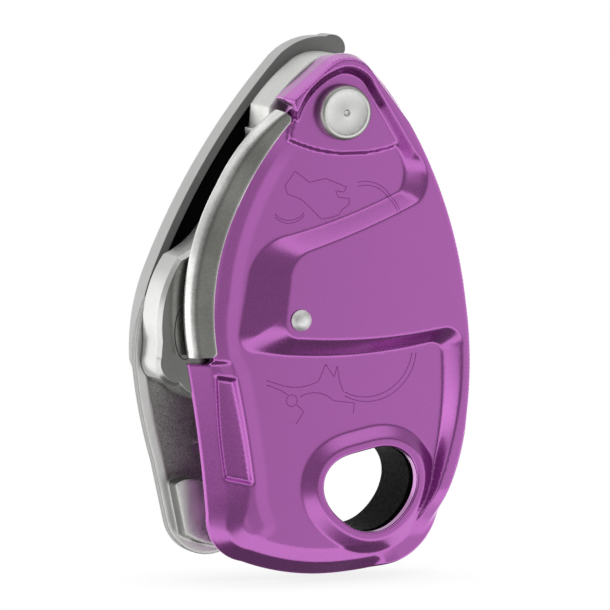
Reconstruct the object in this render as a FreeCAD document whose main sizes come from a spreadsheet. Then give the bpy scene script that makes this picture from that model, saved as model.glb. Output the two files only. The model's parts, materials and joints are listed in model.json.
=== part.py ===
import FreeCAD
import Part
import math
import os
import Sketcher
from FreeCAD import Placement, Rotation, Vector

# Cam-assisted belay device, in millimetres.
# +X points right, +Y away from the viewer (front to back), +Z up.
# The origin is the centre of the carabiner hole, in the middle of the rope gap.

doc = FreeCAD.newDocument("belay_device")

# ---------------------------------------------------------------- driving sizes
sheet = doc.addObject("Spreadsheet::Sheet", "sizes")
SIZES = {
    "rope_gap_half": 6.5,
    "plate_thickness": 3.5,
    "recess_depth": 1.0,
    "rim_width": 2.6,
    "moving_inner": 7.0,
    "moving_thickness": 2.5,
    "plateau_rise": 3.5,
    "platform_rise": 0.8,
    "wall_rear": 4.5,
    "collar_rise": 1.8,
    "collar_flat": 1.9,
    "collar_slope": 3.3,
    "pivot_x": -6.7,
    "pivot_z": 90.4,
    "pivot_radius": 3.2,
    "pivot_head_radius": 6.4,
    "pivot_head_height": 3.0,
    "boss_radius": 8.5,
    "axle_x": -20.0,
    "axle_z": 44.0,
    "axle_radius": 4.0,
    "running_gap": 0.05,
    "cam_front": 4.0,
    "cam_back": 6.0,
    "drum_x": -12.0,
    "drum_z": 48.0,
    "drum_radius": 20.0,
    "rope_radius": 5.6,
    "bearing_wall": 1.45,
    "spring_pocket_radius": 8.5,
    "spring_pocket_depth": 3.4,
    "stop_arm": 16.0,
    "stop_radius": 1.2,
    "cam_travel": 24.0,
    "release_arm_length": 12.0,
    "release_radius": 1.6,
    "handle_travel": 90.0,
    "handle_front": 10.6,
    "handle_depth": 8.4,
    "handle_wall": 2.0,
    "hub_radius": 6.5,
    "bush_front": 6.2,
    "bush_wall": 1.6,
    "knob_front": 19.3,
    "knob_thickness": 4.9,
    "knob_radius": 9.0,
    "stub_radius": 3.0,
    "lip_thickness": 1.2,
    "lip_clearance": 0.05,
    "small_rivet_x": -18.4,
    "small_rivet_z": 41.3,
    "small_rivet_radius": 2.6,
}
for row, (alias, value) in enumerate(SIZES.items(), start=1):
    sheet.set(f"A{row}", alias)
    sheet.set(f"B{row}", str(value))
    sheet.setAlias(f"B{row}", alias)
doc.recompute()


def size(alias):
    """The sheet's current value of one driving size."""
    return float(getattr(sheet, alias))


PIVOT = (size("pivot_x"), size("pivot_z"))
AXLE = (size("axle_x"), size("axle_z"))
FIXED_FRONT = size("rope_gap_half")


# ---------------------------------------------------------------- outline helpers
def outline_edges(start, steps):
    """Edges of a closed outline in sketch coordinates (X across, Z up)."""
    edges = []
    here = Vector(start[0], start[1], 0)
    for step in steps:
        end = Vector(step[-2], step[-1], 0)
        if step[0] == "arc":
            middle = Vector(step[1], step[2], 0)
            edges.append(Part.Arc(here, middle, end).toShape())
        else:
            edges.append(Part.LineSegment(here, end).toShape())
        here = end
    first = Vector(start[0], start[1], 0)
    if here.distanceToPoint(first) > 1e-6:
        edges.append(Part.LineSegment(here, first).toShape())
    return edges


def inset_edges(edges, distance):
    """The same closed outline moved inwards by a distance (outwards if negative)."""
    wire = Part.Wire(edges)
    return wire.makeOffset2D(-distance, 0, False, False).Edges


def rounded_egg(extra):
    """Outline of the carabiner hole, moved outwards by extra."""
    points = []
    for number in range(24):
        angle = math.radians(15 * number)
        radius = 10.95 + extra
        radius += 0.65 * math.cos(angle - math.radians(12))
        radius += 1.05 * math.cos(2 * (angle - math.radians(8)))
        radius += 0.65 * math.cos(3 * (angle - math.radians(38)))
        points.append(Vector(radius * math.cos(angle), radius * math.sin(angle), 0))
    curve = Part.BSplineCurve()
    curve.interpolate(Points=points, PeriodicFlag=True)
    return [curve.toShape()]


def sector_edges(centre, inner, outer, start_deg, end_deg):
    """A slot that follows an arc, with round ends."""
    def at(radius, degrees):
        angle = math.radians(degrees)
        return (centre[0] + radius * math.cos(angle), centre[1] + radius * math.sin(angle))

    half = (outer - inner) / 2
    middle = (inner + outer) / 2
    mid_deg = (start_deg + end_deg) / 2
    cap = math.degrees(half / middle)
    return outline_edges(at(outer, start_deg), [
        ("arc", *at(outer, mid_deg), *at(outer, end_deg)),
        ("arc", *at(middle, end_deg + cap), *at(inner, end_deg)),
        ("arc", *at(inner, mid_deg), *at(inner, start_deg)),
        ("arc", *at(middle, start_deg - cap), *at(outer, start_deg)),
    ])


# ---------------------------------------------------------------- feature helpers
def new_body(label):
    body = doc.addObject("PartDesign::Body", label)
    body.Label = label
    return body


def base_plane(body, role):
    return next(f for f in body.Origin.OriginFeatures if f.Role == role)


def front_sketch(body, name, y_expression):
    """An empty sketch facing the viewer, at the given Y."""
    sketch = body.newObject("Sketcher::SketchObject", name)
    sketch.AttachmentSupport = [(base_plane(body, "XZ_Plane"), "")]
    sketch.MapMode = "FlatFace"
    sketch.setExpression("AttachmentOffset.Base.z", f"-({y_expression})")
    return sketch


def draw(sketch, edges):
    """Put edges in a sketch."""
    for edge in edges:
        curve = edge.Curve
        if isinstance(curve, Part.Line):
            sketch.addGeometry(Part.LineSegment(edge.Vertexes[0].Point, edge.Vertexes[-1].Point))
        elif isinstance(curve, Part.Circle):
            if edge.isClosed():
                sketch.addGeometry(Part.Circle(curve.Center, Vector(0, 0, 1), curve.Radius))
            else:
                middle = edge.valueAt((edge.FirstParameter + edge.LastParameter) / 2)
                ends = [edge.valueAt(edge.FirstParameter), edge.valueAt(edge.LastParameter)]
                sketch.addGeometry(Part.Arc(ends[0], middle, ends[1]))
        else:
            sketch.addGeometry(curve)


def circle(sketch, x_expression, z_expression, radius_expression):
    """A circle whose centre and radius are bound to the sheet."""
    index = sketch.addGeometry(Part.Circle(Vector(1, 1, 0), Vector(0, 0, 1), 1))
    bindings = [
        (Sketcher.Constraint("DistanceX", -1, 1, index, 3, 1), x_expression),
        (Sketcher.Constraint("DistanceY", -1, 1, index, 3, 1), z_expression),
        (Sketcher.Constraint("Radius", index, 1), radius_expression),
    ]
    for constraint, expression in bindings:
        number = sketch.addConstraint(constraint)
        sketch.setExpression(f"Constraints[{number}]", expression)


def pad(body, name, sketch, length_expression):
    """Add material from the sketch towards the viewer."""
    feature = body.newObject("PartDesign::Pad", name)
    feature.Profile = sketch
    feature.setExpression("Length", length_expression)
    doc.recompute()
    return feature


def pocket(body, name, sketch, length_expression):
    """Cut from the sketch away from the viewer."""
    feature = body.newObject("PartDesign::Pocket", name)
    feature.Profile = sketch
    feature.setExpression("Length", length_expression)
    doc.recompute()
    return feature


def loft(body, name, kind, first, second):
    feature = body.newObject(f"PartDesign::{kind}", name)
    feature.Profile = first
    feature.Sections = [second]
    feature.Ruled = True
    doc.recompute()
    return feature


def round_edges(body, name, kind, amount_expression, wanted):
    """Fillet or chamfer the edges of the body's current shape that pass a test."""
    tip = body.Tip
    names = [f"Edge{i}" for i, edge in enumerate(tip.Shape.Edges, start=1) if wanted(edge)]
    feature = body.newObject(f"PartDesign::{kind}", name)
    feature.Base = (tip, names)
    feature.setExpression("Radius" if kind == "Fillet" else "Size", amount_expression)
    doc.recompute()
    return feature


def at_y(edge, y, tolerance=0.02):
    box = edge.BoundBox
    return abs(box.YMin - y) < tolerance and abs(box.YMax - y) < tolerance


def turned(label, x_expression, z_expression, profile):
    """A turned piece about a front-to-back axis; profile is (radius, y) expression pairs."""
    body = new_body(label)
    sketch = body.newObject("Sketcher::SketchObject", label + "_profile")
    sketch.AttachmentSupport = [(base_plane(body, "XY_Plane"), "")]
    sketch.MapMode = "FlatFace"
    scratch = []
    for radius_expression, y_expression in profile:
        scratch.append((evaluate(radius_expression), evaluate(y_expression)))
    count = len(scratch)
    for number in range(count):
        first = Vector(*scratch[number], 0)
        second = Vector(*scratch[(number + 1) % count], 0)
        sketch.addGeometry(Part.LineSegment(first, second))
    for number in range(count):
        following = (number + 1) % count
        sketch.addConstraint(Sketcher.Constraint("Coincident", number, 2, following, 1))
    for number, (radius_expression, y_expression) in enumerate(profile):
        pairs = (("DistanceX", radius_expression), ("DistanceY", y_expression))
        for kind, expression in pairs:
            value = evaluate(expression)
            index = sketch.addConstraint(Sketcher.Constraint(kind, -1, 1, number, 1, value))
            sketch.setExpression(f"Constraints[{index}]", expression)
    feature = body.newObject("PartDesign::Revolution", label + "_turning")
    feature.Profile = sketch
    feature.ReferenceAxis = (sketch, ["V_Axis"])
    feature.Angle = 360
    body.setExpression("Placement.Base.x", x_expression)
    body.setExpression("Placement.Base.z", z_expression)
    doc.recompute()
    return body


def evaluate(expression):
    """The number a sheet expression stands for."""
    return float(sheet.evalExpression(expression.replace("sizes.", "")))


def cut_circle(body, name, x, z, radius, y_front, depth):
    sketch = front_sketch(body, name + "_sketch", y_front)
    circle(sketch, x, z, radius)
    return pocket(body, name, sketch, depth)


PIVOT_AT = ("sizes.pivot_x", "sizes.pivot_z")
AXLE_AT = ("sizes.axle_x", "sizes.axle_z")


# ---------------------------------------------------------------- fixed frame
def make_fixed_side_plate():
    """Cast back plate: rim, rough recess, friction block, pivot and axle bosses."""
    body = new_body("fixed_side_plate")
    outline = outline_edges((-20.7, 91.2), [
        ("arc", -16.0, 98.0, -10.5, 101.9),
        ("arc", -4.5, 103.6, 1.4, 100.4),
        ("line", 9.8, 88.2),
        ("arc", 19.6, 66.5, 24.6, 44.3),
        ("arc", 25.7, 31.0, 24.9, 17.0),
        ("arc", 22.4, 6.0, 17.4, -7.6),
        ("arc", 13.3, -13.4, 5.4, -17.5),
        ("arc", -13.0, -19.2, -31.0, -15.4),
        ("arc", -42.4, -12.6, -44.9, -8.0),
        ("line", -48.2, 6.8),
        ("arc", -51.4, 20.0, -52.8, 29.5),
        ("arc", -52.2, 39.0, -49.6, 46.6),
        ("arc", -40.5, 48.4, -35.6, 55.0),
        ("arc", -29.0, 72.0, -23.5, 84.0),
    ])
    back = front_sketch(body, "plate_outline",
                        "sizes.rope_gap_half + sizes.plate_thickness - 0.8")
    draw(back, outline)
    pad(body, "plate_pad", back, "sizes.plate_thickness - 0.8")
    cap = front_sketch(body, "back_cap_outline", "sizes.rope_gap_half + sizes.plate_thickness")
    draw(cap, inset_edges(outline, 0.8))
    pad(body, "back_cap", cap, "1.0 mm")

    floor = front_sketch(body, "recess_outline", "sizes.rope_gap_half")
    draw(floor, inset_edges(outline, size("rim_width")))
    pocket(body, "recess", floor, "sizes.recess_depth")

    # friction block that closes the top between the plates
    block = front_sketch(body, "block_outline", "sizes.rope_gap_half + sizes.recess_depth + 0.1")
    draw(block, outline_edges((-22.9, 91.6), [
        ("arc", -18.4, 96.9, -12.4, 102.0),
        ("arc", -5.5, 103.8, 1.4, 100.4),
        ("line", 9.8, 88.2),
        ("line", 12.4, 81.2),
        ("line", 9.5, 80.8),
        ("line", -18.0, 81.6),
        ("arc", -21.8, 82.9, -23.3, 86.6),
    ]))
    pad(body, "block", block, "sizes.rope_gap_half + sizes.recess_depth + 0.1 + sizes.cam_front")
    boss = front_sketch(body, "pivot_boss_outline", "0 mm")
    circle(boss, *PIVOT_AT, "sizes.boss_radius")
    pad(body, "pivot_boss", boss, "sizes.moving_inner - 0.6")

    # seat of the axle, level with the rim, and ring around the carabiner hole
    seat = front_sketch(body, "axle_seat_outline", "sizes.rope_gap_half + sizes.recess_depth + 0.1")
    circle(seat, *AXLE_AT, "sizes.axle_radius + 3.4")
    pad(body, "axle_seat", seat, "sizes.recess_depth + 0.1")
    ring = front_sketch(body, "hole_ring_outline", "sizes.rope_gap_half + sizes.recess_depth + 0.1")
    draw(ring, rounded_egg(4.6))
    pad(body, "hole_ring", ring, "sizes.recess_depth + 0.1")

    # raised guide along the lower left, where the climber's rope leaves
    guide = front_sketch(body, "guide_outline", "sizes.rope_gap_half + sizes.recess_depth + 0.1")
    draw(guide, outline_edges((-44.6, 1.6), [
        ("arc", -40.9, 2.8, -37.0, 1.4),
        ("line", -33.5, -3.5),
        ("arc", -29.0, -8.8, -22.5, -13.0),
        ("arc", -32.5, -13.8, -42.0, -10.6),
    ]))
    pad(body, "guide", guide, "sizes.recess_depth + 4.6")

    # holes
    through = "sizes.plate_thickness + 20"
    cut_circle(body, "pivot_hole", *PIVOT_AT, "sizes.pivot_radius", "-sizes.moving_inner", through)
    cut_circle(body, "pivot_washer_seat", *PIVOT_AT, "sizes.pivot_radius + 2.6",
               "sizes.rope_gap_half + sizes.plate_thickness - 1.4", "5 mm")
    cut_circle(body, "axle_hole", *AXLE_AT, "sizes.axle_radius", "0 mm", through)
    lining = front_sketch(body, "hole_outline", "0 mm")
    draw(lining, rounded_egg(size("bush_wall")))
    pocket(body, "carabiner_hole", lining, through)
    slot = front_sketch(body, "release_slot_outline", "0 mm")
    half = size("release_radius") + 0.5
    arm = size("release_arm_length")
    draw(slot, sector_edges(AXLE, arm - half, arm + half, 58, 58 + size("handle_travel") + 4))
    pocket(body, "release_slot", slot, through)
    stop_x = "sizes.axle_x + sizes.stop_arm"
    cut_circle(body, "stop_pin_hole", stop_x, "sizes.axle_z", "sizes.stop_radius", "0 mm", through)
    cut_circle(body, "spring_leg_hole", "sizes.axle_x - 8.6 * sin(20 deg)",
               "sizes.axle_z - 8.6 * cos(20 deg)", "0.75 mm", "0 mm", through)
    cut_circle(body, "ejector_dimple", "-36.6 mm", "9.5 mm", "1.8 mm", "0 mm",
               "sizes.rope_gap_half + sizes.recess_depth + 0.8")

    # blind rivet holes under the friction block
    for name, x in (("left_rivet_hole", -18.6), ("right_rivet_hole", 3.6)):
        bottom = body.newObject("Sketcher::SketchObject", name + "_sketch")
        bottom.AttachmentSupport = [(base_plane(body, "XY_Plane"), "")]
        bottom.MapMode = "FlatFace"
        bottom.AttachmentOffset = Placement(Vector(0, 0, 78), Rotation())
        bottom.addGeometry(Part.Circle(Vector(x, 1, 0), Vector(0, 0, 1), 1.5))
        hole = body.newObject("PartDesign::Pocket", name)
        hole.Profile = bottom
        hole.Reversed = True
        hole.Length = 8.0
        doc.recompute()
    return body


def make_friction_plate():
    """Hard strip under the block; its left end curls up where the brake rope enters."""
    body = new_body("friction_plate")
    back = front_sketch(body, "strip_outline", "sizes.rope_gap_half - 0.3")
    draw(back, outline_edges((9.5, 80.75), [
        ("line", 9.5, 79.15),
        ("line", -18.2, 79.95),
        ("arc", -22.8, 81.2, -24.9, 86.2),
        ("line", -23.35, 86.5),
        ("arc", -21.9, 82.85, -18.0, 81.55),
    ]))
    pad(body, "strip", back, "sizes.rope_gap_half - 0.3 + sizes.cam_front - 0.4")
    for name, x in (("left_hole", -18.6), ("right_hole", 3.6)):
        bottom = body.newObject("Sketcher::SketchObject", name + "_sketch")
        bottom.AttachmentSupport = [(base_plane(body, "XY_Plane"), "")]
        bottom.MapMode = "FlatFace"
        bottom.AttachmentOffset = Placement(Vector(0, 0, 77), Rotation())
        bottom.addGeometry(Part.Circle(Vector(x, 1, 0), Vector(0, 0, 1), 1.5))
        hole = body.newObject("PartDesign::Pocket", name)
        hole.Profile = bottom
        hole.Reversed = True
        hole.Length = 9.0
        doc.recompute()
    return body


def make_friction_plate_rivets():
    """Two flush rivets up through the strip into the block."""
    rivets = doc.addObject("Part::MultiFuse", "friction_plate_rivets")
    shanks = []
    for name, x, bottom in (("left", -18.6, 79.99), ("right", 3.6, 79.35)):
        shank = doc.addObject("Part::Cylinder", "friction_rivet_" + name)
        shank.setExpression("Radius", "1.5 mm")
        shank.Height = 85.8 - bottom
        shank.Placement = Placement(Vector(x, 1, bottom), Rotation())
        shanks.append(shank)
    rivets.Shapes = shanks
    rivets.Label = "friction_plate_rivets"
    doc.recompute()
    return rivets


def make_pivot_rivet():
    """Turned rivet: domed head in front, shank through the block, flush at the back."""
    seat = "-(sizes.moving_inner + sizes.moving_thickness + sizes.platform_rise)"
    top = f"{seat} - sizes.pivot_head_height"
    back = "sizes.rope_gap_half + sizes.plate_thickness - 0.1"
    return turned("pivot_rivet", *PIVOT_AT, [
        ("0.9 mm", f"{top} + 0.5"),
        ("2.2 mm", f"{top}"),
        ("sizes.pivot_head_radius - 1.6", f"{top} + 0.3"),
        ("sizes.pivot_head_radius - 0.5", f"{top} + 0.9"),
        ("sizes.pivot_head_radius", f"{top} + 1.8"),
        ("sizes.pivot_head_radius", seat),
        ("sizes.pivot_radius", seat),
        ("sizes.pivot_radius", back),
        ("0 mm", back),
        ("0 mm", f"{top} + 0.5"),
    ])


def make_pivot_rear_washer():
    back = "sizes.rope_gap_half + sizes.plate_thickness - 0.1"
    front = "sizes.rope_gap_half + sizes.plate_thickness - 1.4"
    return turned("pivot_rear_washer", *PIVOT_AT, [
        ("sizes.pivot_radius", front),
        ("sizes.pivot_radius + 2.6", front),
        ("sizes.pivot_radius + 2.6", back),
        ("sizes.pivot_radius", back),
    ])


def make_attachment_bush():
    """Nylon lining of the carabiner hole, with a chamfer at the back."""
    body = new_body("attachment_bush")
    back = front_sketch(body, "bush_outline", "sizes.rope_gap_half + sizes.plate_thickness + 0.5")
    draw(back, rounded_egg(size("bush_wall")))
    length = "sizes.rope_gap_half + sizes.plate_thickness + 0.5 + sizes.bush_front"
    pad(body, "bush", back, length)
    front = front_sketch(body, "bore_outline", "-10 mm")
    draw(front, rounded_egg(0.0))
    pocket(body, "bore", front, "30 mm")
    return body


def make_cam_axle():
    """Axle with a head in the cam's pocket and a thinner stub for the selector."""
    head = "sizes.axle_radius + 1.2"
    pocket_floor = "-sizes.cam_front + sizes.spring_pocket_depth"
    groove = "sizes.knob_front + sizes.knob_thickness + 0.05"
    return turned("cam_axle", *AXLE_AT, [
        ("0 mm", "-sizes.cam_front + 0.3"),
        (head + " - 0.4", "-sizes.cam_front + 0.3"),
        (head, "-sizes.cam_front + 0.7"),
        (head, f"{pocket_floor} - 0.05"),
        ("sizes.axle_radius", f"{pocket_floor} - 0.05"),
        ("sizes.axle_radius", "sizes.knob_front - 0.1"),
        ("sizes.stub_radius", "sizes.knob_front - 0.1"),
        ("sizes.stub_radius", "sizes.knob_front + 1.6"),
        ("sizes.stub_radius - 0.5", "sizes.knob_front + 1.6"),
        ("sizes.stub_radius - 0.5", "sizes.knob_front + 3.2"),
        ("sizes.stub_radius", "sizes.knob_front + 3.2"),
        ("sizes.stub_radius", groove),
        ("sizes.stub_radius - 0.4", groove),
        ("sizes.stub_radius - 0.4", f"{groove} + 0.8"),
        ("sizes.stub_radius", f"{groove} + 0.8"),
        ("sizes.stub_radius", f"{groove} + 1.3"),
        ("0 mm", f"{groove} + 1.6"),
    ])


def make_cam_thrust_washer():
    return turned("cam_thrust_washer", *AXLE_AT, [
        ("sizes.axle_radius", "sizes.cam_back + 0.05"),
        ("sizes.axle_radius + 2.8", "sizes.cam_back + 0.05"),
        ("sizes.axle_radius + 2.8", "sizes.rope_gap_half"),
        ("sizes.axle_radius", "sizes.rope_gap_half"),
    ])


def make_cam_stop_pin():
    return turned("cam_stop_pin", "sizes.axle_x + sizes.stop_arm", "sizes.axle_z", [
        ("0 mm", "sizes.cam_back - 3.2"),
        ("sizes.stop_radius - 0.3", "sizes.cam_back - 3.2"),
        ("sizes.stop_radius", "sizes.cam_back - 2.9"),
        ("sizes.stop_radius", "sizes.rope_gap_half + sizes.plate_thickness - 0.1"),
        ("0 mm", "sizes.rope_gap_half + sizes.plate_thickness - 0.1"),
    ])


def make_axle_retaining_ring():
    """Open snap ring in the axle's last groove."""
    body = new_body("axle_retaining_ring")
    groove = "sizes.knob_front + sizes.knob_thickness + 0.1"
    sketch = front_sketch(body, "ring_outline", f"{groove} + 0.7")
    circle(sketch, *AXLE_AT, "sizes.stub_radius + 1.6")
    circle(sketch, *AXLE_AT, "sizes.stub_radius - 0.4")
    pad(body, "ring", sketch, "0.7 mm")
    gap = front_sketch(body, "gap_outline", groove + " - 1")
    x, z = AXLE
    draw(gap, outline_edges((x - 1.1, z - 6), [
        ("line", x + 1.1, z - 6),
        ("line", x + 0.9, z - 1),
        ("line", x - 0.9, z - 1),
    ]))
    pocket(body, "gap", gap, "4 mm")
    return body


# ---------------------------------------------------------------- moving plate
def raised_region(level):
    """Raised part of the front plate: upper rim, centre plateau and right rim."""
    if level == "top":
        return outline_edges((-19.4, 89.4), [
            ("arc", -15.0, 97.3, -7.0, 101.4),
            ("arc", -2.6, 100.3, 1.2, 96.3),
            ("line", 11.5, 80.0),
            ("arc", 14.3, 74.0, 12.2, 68.6),
            ("arc", -1.5, 62.8, -15.7, 57.9),
            ("arc", -19.7, 55.0, -21.0, 50.5),
            ("line", -22.2, 41.0),
            ("arc", -21.4, 38.1, -18.3, 36.9),
            ("arc", -1.0, 36.3, 18.8, 38.2),
            ("arc", 22.4, 37.0, 23.5, 33.2),
            ("arc", 22.9, 20.5, 19.9, 7.5),
            ("arc", 16.4, -1.8, 10.4, -11.6),
            ("line", 12.4, -13.4),
            ("arc", 19.6, -2.4, 25.0, 17.0),
            ("arc", 25.8, 31.0, 24.7, 44.3),
            ("arc", 19.8, 66.0, 9.9, 87.4),
            ("line", -0.3, 100.6),
            ("arc", -5.6, 103.4, -10.4, 102.0),
            ("line", -20.4, 93.6),
        ])
    return outline_edges((-18.0, 87.0), [
        ("arc", -13.8, 95.0, -7.0, 99.2),
        ("arc", -3.6, 98.7, -0.6, 95.9),
        ("line", 7.9, 81.6),
        ("arc", 9.8, 75.0, 8.6, 70.9),
        ("arc", -5.0, 65.5, -19.5, 61.4),
        ("arc", -27.3, 57.7, -30.3, 51.8),
        ("line", -32.4, 39.5),
        ("arc", -31.9, 35.3, -28.5, 33.7),
        ("arc", -6.0, 32.2, 16.4, 34.5),
        ("arc", 19.0, 33.7, 19.7, 31.4),
        ("arc", 19.3, 15.0, 16.7, 1.0),
        ("arc", 14.3, -5.2, 9.4, -11.4),
        ("line", 13.0, -14.6),
        ("arc", 20.3, -2.8, 25.8, 17.0),
        ("arc", 26.6, 31.0, 25.5, 44.3),
        ("arc", 20.5, 66.4, 10.6, 87.8),
        ("line", 0.4, 101.2),
        ("arc", -5.6, 104.2, -10.6, 102.8),
        ("line", -21.2, 94.0),
    ])


def make_moving_side_plate():
    """Pressed front plate: sheet, raised rims and plateau, collar, folded left and lower wall."""
    body = new_body("moving_side_plate")
    back = front_sketch(body, "sheet_outline", "-sizes.moving_inner")
    draw(back, outline_edges((-10.6, 102.9), [
        ("arc", -5.6, 104.3, 0.6, 101.2),
        ("line", 10.7, 87.9),
        ("arc", 20.6, 66.5, 25.6, 44.3),
        ("arc", 26.7, 31.0, 25.9, 17.0),
        ("arc", 23.4, 6.0, 18.4, -7.6),
        ("arc", 14.3, -14.2, 6.4, -18.5),
        ("arc", -10.0, -18.2, -26.0, -14.4),
        ("arc", -32.0, -9.5, -34.5, -2.5),
        ("arc", -37.2, 12.0, -39.4, 28.0),
        ("line", -43.0, 34.0),
        ("arc", -42.5, 56.0, -35.6, 73.0),
        ("arc", -30.1, 81.6, -20.6, 89.9),
        ("line", -19.9, 92.2),
        ("line", -21.4, 94.1),
    ]))
    pad(body, "sheet", back, "sizes.moving_thickness")

    # wall folded back along the left and lower edge
    wall = front_sketch(body, "wall_outline", "-sizes.wall_rear")
    draw(wall, outline_edges((-44.0, 30.9), [
        ("arc", -41.4, 15.0, -39.2, -5.0),
        ("arc", -36.9, -12.6, -30.4, -16.6),
        ("arc", -14.0, -20.3, 2.4, -19.3),
        ("line", 2.0, -17.0),
        ("arc", -13.0, -17.8, -28.8, -14.4),
        ("arc", -34.4, -10.8, -36.4, -4.4),
        ("arc", -38.6, 14.0, -41.0, 30.9),
    ]))
    front = front_sketch(body, "wall_crest", "-(sizes.moving_inner + sizes.moving_thickness - 0.6)")
    draw(front, outline_edges((-41.2, 30.9), [
        ("arc", -38.6, 15.0, -36.2, -3.6),
        ("arc", -33.6, -10.4, -27.4, -14.0),
        ("arc", -12.0, -17.9, 2.4, -17.6),
        ("line", 2.0, -14.4),
        ("arc", -11.6, -15.0, -25.6, -11.8),
        ("arc", -31.6, -8.6, -33.4, -3.0),
        ("arc", -35.6, 14.0, -38.2, 30.9),
    ]))
    loft(body, "wall", "AdditiveLoft", wall, front)

    # wall folded back at the upper left, above the rope lip
    flange = front_sketch(body, "flange_outline", "-sizes.wall_rear")
    draw(flange, outline_edges((-10.6, 102.9), [
        ("line", -21.4, 94.1),
        ("line", -19.9, 92.2),
        ("line", -9.6, 100.6),
    ]))
    pad(body, "flange", flange, "sizes.moving_inner - sizes.wall_rear + 1")

    foot = front_sketch(body, "raised_foot", "-(sizes.moving_inner + sizes.moving_thickness - 0.1)")
    draw(foot, raised_region("foot"))
    top_y = "-(sizes.moving_inner + sizes.moving_thickness + sizes.plateau_rise)"
    top = front_sketch(body, "raised_top", top_y)
    draw(top, raised_region("top"))
    loft(body, "raised_region", "AdditiveLoft", foot, top)

    # platform under the pivot rivet
    platform = front_sketch(body, "platform_outline",
                            "-(sizes.moving_inner + sizes.moving_thickness - 0.1)")
    draw(platform, outline_edges((-20.2, 84.2), [
        ("arc", -6.3, 80.5, 8.6, 82.4),
        ("line", 0.4, 96.8),
        ("arc", -4.6, 99.6, -9.6, 98.8),
        ("arc", -16.6, 93.6, -20.2, 84.2),
    ]))
    pad(body, "platform", platform, "sizes.platform_rise + 0.1")

    # collar around the carabiner hole
    collar_foot = front_sketch(body, "collar_foot",
                               "-(sizes.moving_inner + sizes.moving_thickness - 0.1)")
    draw(collar_foot, rounded_egg(size("collar_flat") + size("collar_slope")))
    collar_y = "-(sizes.moving_inner + sizes.moving_thickness + sizes.collar_rise)"
    collar_top = front_sketch(body, "collar_top", collar_y)
    draw(collar_top, rounded_egg(size("collar_flat")))
    loft(body, "collar", "AdditiveLoft", collar_foot, collar_top)

    # hollow behind the plateau, as the sheet is pressed and not solid
    hollow = front_sketch(body, "hollow_outline", "-(sizes.moving_inner + sizes.plateau_rise - 0.1)")
    draw(hollow, outline_edges((-25.0, 53.0), [
        ("arc", -22.0, 56.6, -17.0, 58.6),
        ("arc", -3.0, 63.0, 11.0, 68.0),
        ("line", 15.4, 67.4),
        ("arc", 20.6, 55.0, 22.6, 43.0),
        ("arc", 22.0, 39.8, 18.6, 38.6),
        ("arc", -1.0, 36.6, -23.5, 38.0),
        ("arc", -26.6, 39.4, -27.2, 42.6),
    ]))
    pocket(body, "plateau_hollow", hollow, "sizes.plateau_rise + 1")

    hole = front_sketch(body, "hole_outline", "-20 mm")
    draw(hole, rounded_egg(0.0))
    pocket(body, "carabiner_hole", hole, "20 mm")
    cut_circle(body, "pivot_hole", *PIVOT_AT, "sizes.pivot_radius + sizes.running_gap",
               "-20 mm", "20 mm")
    cut_circle(body, "small_rivet_hole", "sizes.small_rivet_x", "sizes.small_rivet_z",
               "sizes.small_rivet_radius - 1.1", "-20 mm", "20 mm")
    return body


def make_wear_plate():
    """Stainless sheet behind the front plate; its left edge rolls over to the front."""
    body = new_body("wear_plate")
    left_edge = [
        ("arc", -42.7, 56.0, -35.8, 73.1),
        ("arc", -30.1, 81.8, -21.5, 89.7),
    ]
    middle = -(size("moving_inner") + size("moving_thickness") / 2)
    inside = size("moving_thickness") / 2 + size("lip_clearance")
    outside = inside + size("lip_thickness")

    # half-round roll that joins both legs, swept along the left edge
    path = front_sketch(body, "roll_path", "-(sizes.moving_inner + sizes.moving_thickness / 2)")
    draw(path, outline_edges((-43.2, 34.0), left_edge)[:2])
    profile = body.newObject("Sketcher::SketchObject", "roll_profile")
    profile.AttachmentSupport = [(base_plane(body, "XY_Plane"), "")]
    profile.MapMode = "FlatFace"
    profile.AttachmentOffset = Placement(Vector(0, 0, 34.0), Rotation())
    draw(profile, outline_edges((-43.2, middle - outside), [
        ("arc", -43.2 - outside, middle, -43.2, middle + outside),
        ("line", -43.1, middle + outside),
        ("line", -43.1, middle + inside),
        ("line", -43.2, middle + inside),
        ("arc", -43.2 - inside, middle, -43.2, middle - inside),
        ("line", -43.1, middle - inside),
        ("line", -43.1, middle - outside),
    ]))
    roll = body.newObject("PartDesign::AdditivePipe", "roll")
    roll.Profile = profile
    roll.Spine = (path, ["Edge1", "Edge2"])
    doc.recompute()

    # sheet on the inside
    back = front_sketch(body, "inner_sheet_outline",
                        "-(sizes.moving_inner - sizes.lip_clearance - sizes.lip_thickness)")
    draw(back, outline_edges((-43.2, 34.0), left_edge + [
        ("line", -19.0, 80.0),
        ("arc", -24.0, 68.0, -14.0, 60.0),
        ("arc", -9.5, 46.0, -14.0, 37.6),
        ("line", -30.0, 34.0),
    ]))
    pad(body, "inner_sheet", back, "sizes.lip_thickness")
    # front leg of the lip
    front = front_sketch(body, "front_leg_outline",
                         "-(sizes.moving_inner + sizes.moving_thickness + sizes.lip_clearance)")
    draw(front, outline_edges((-43.2, 34.0), left_edge + [
        ("line", -19.6, 88.8),
        ("arc", -27.3, 79.4, -32.8, 70.0),
        ("arc", -38.6, 54.0, -38.9, 34.0),
    ]))
    pad(body, "front_leg", front, "sizes.lip_thickness")
    cut_circle(body, "rivet_hole", "sizes.small_rivet_x", "sizes.small_rivet_z",
               "sizes.small_rivet_radius - 1.1", "-20 mm", "20 mm")
    return body


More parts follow.
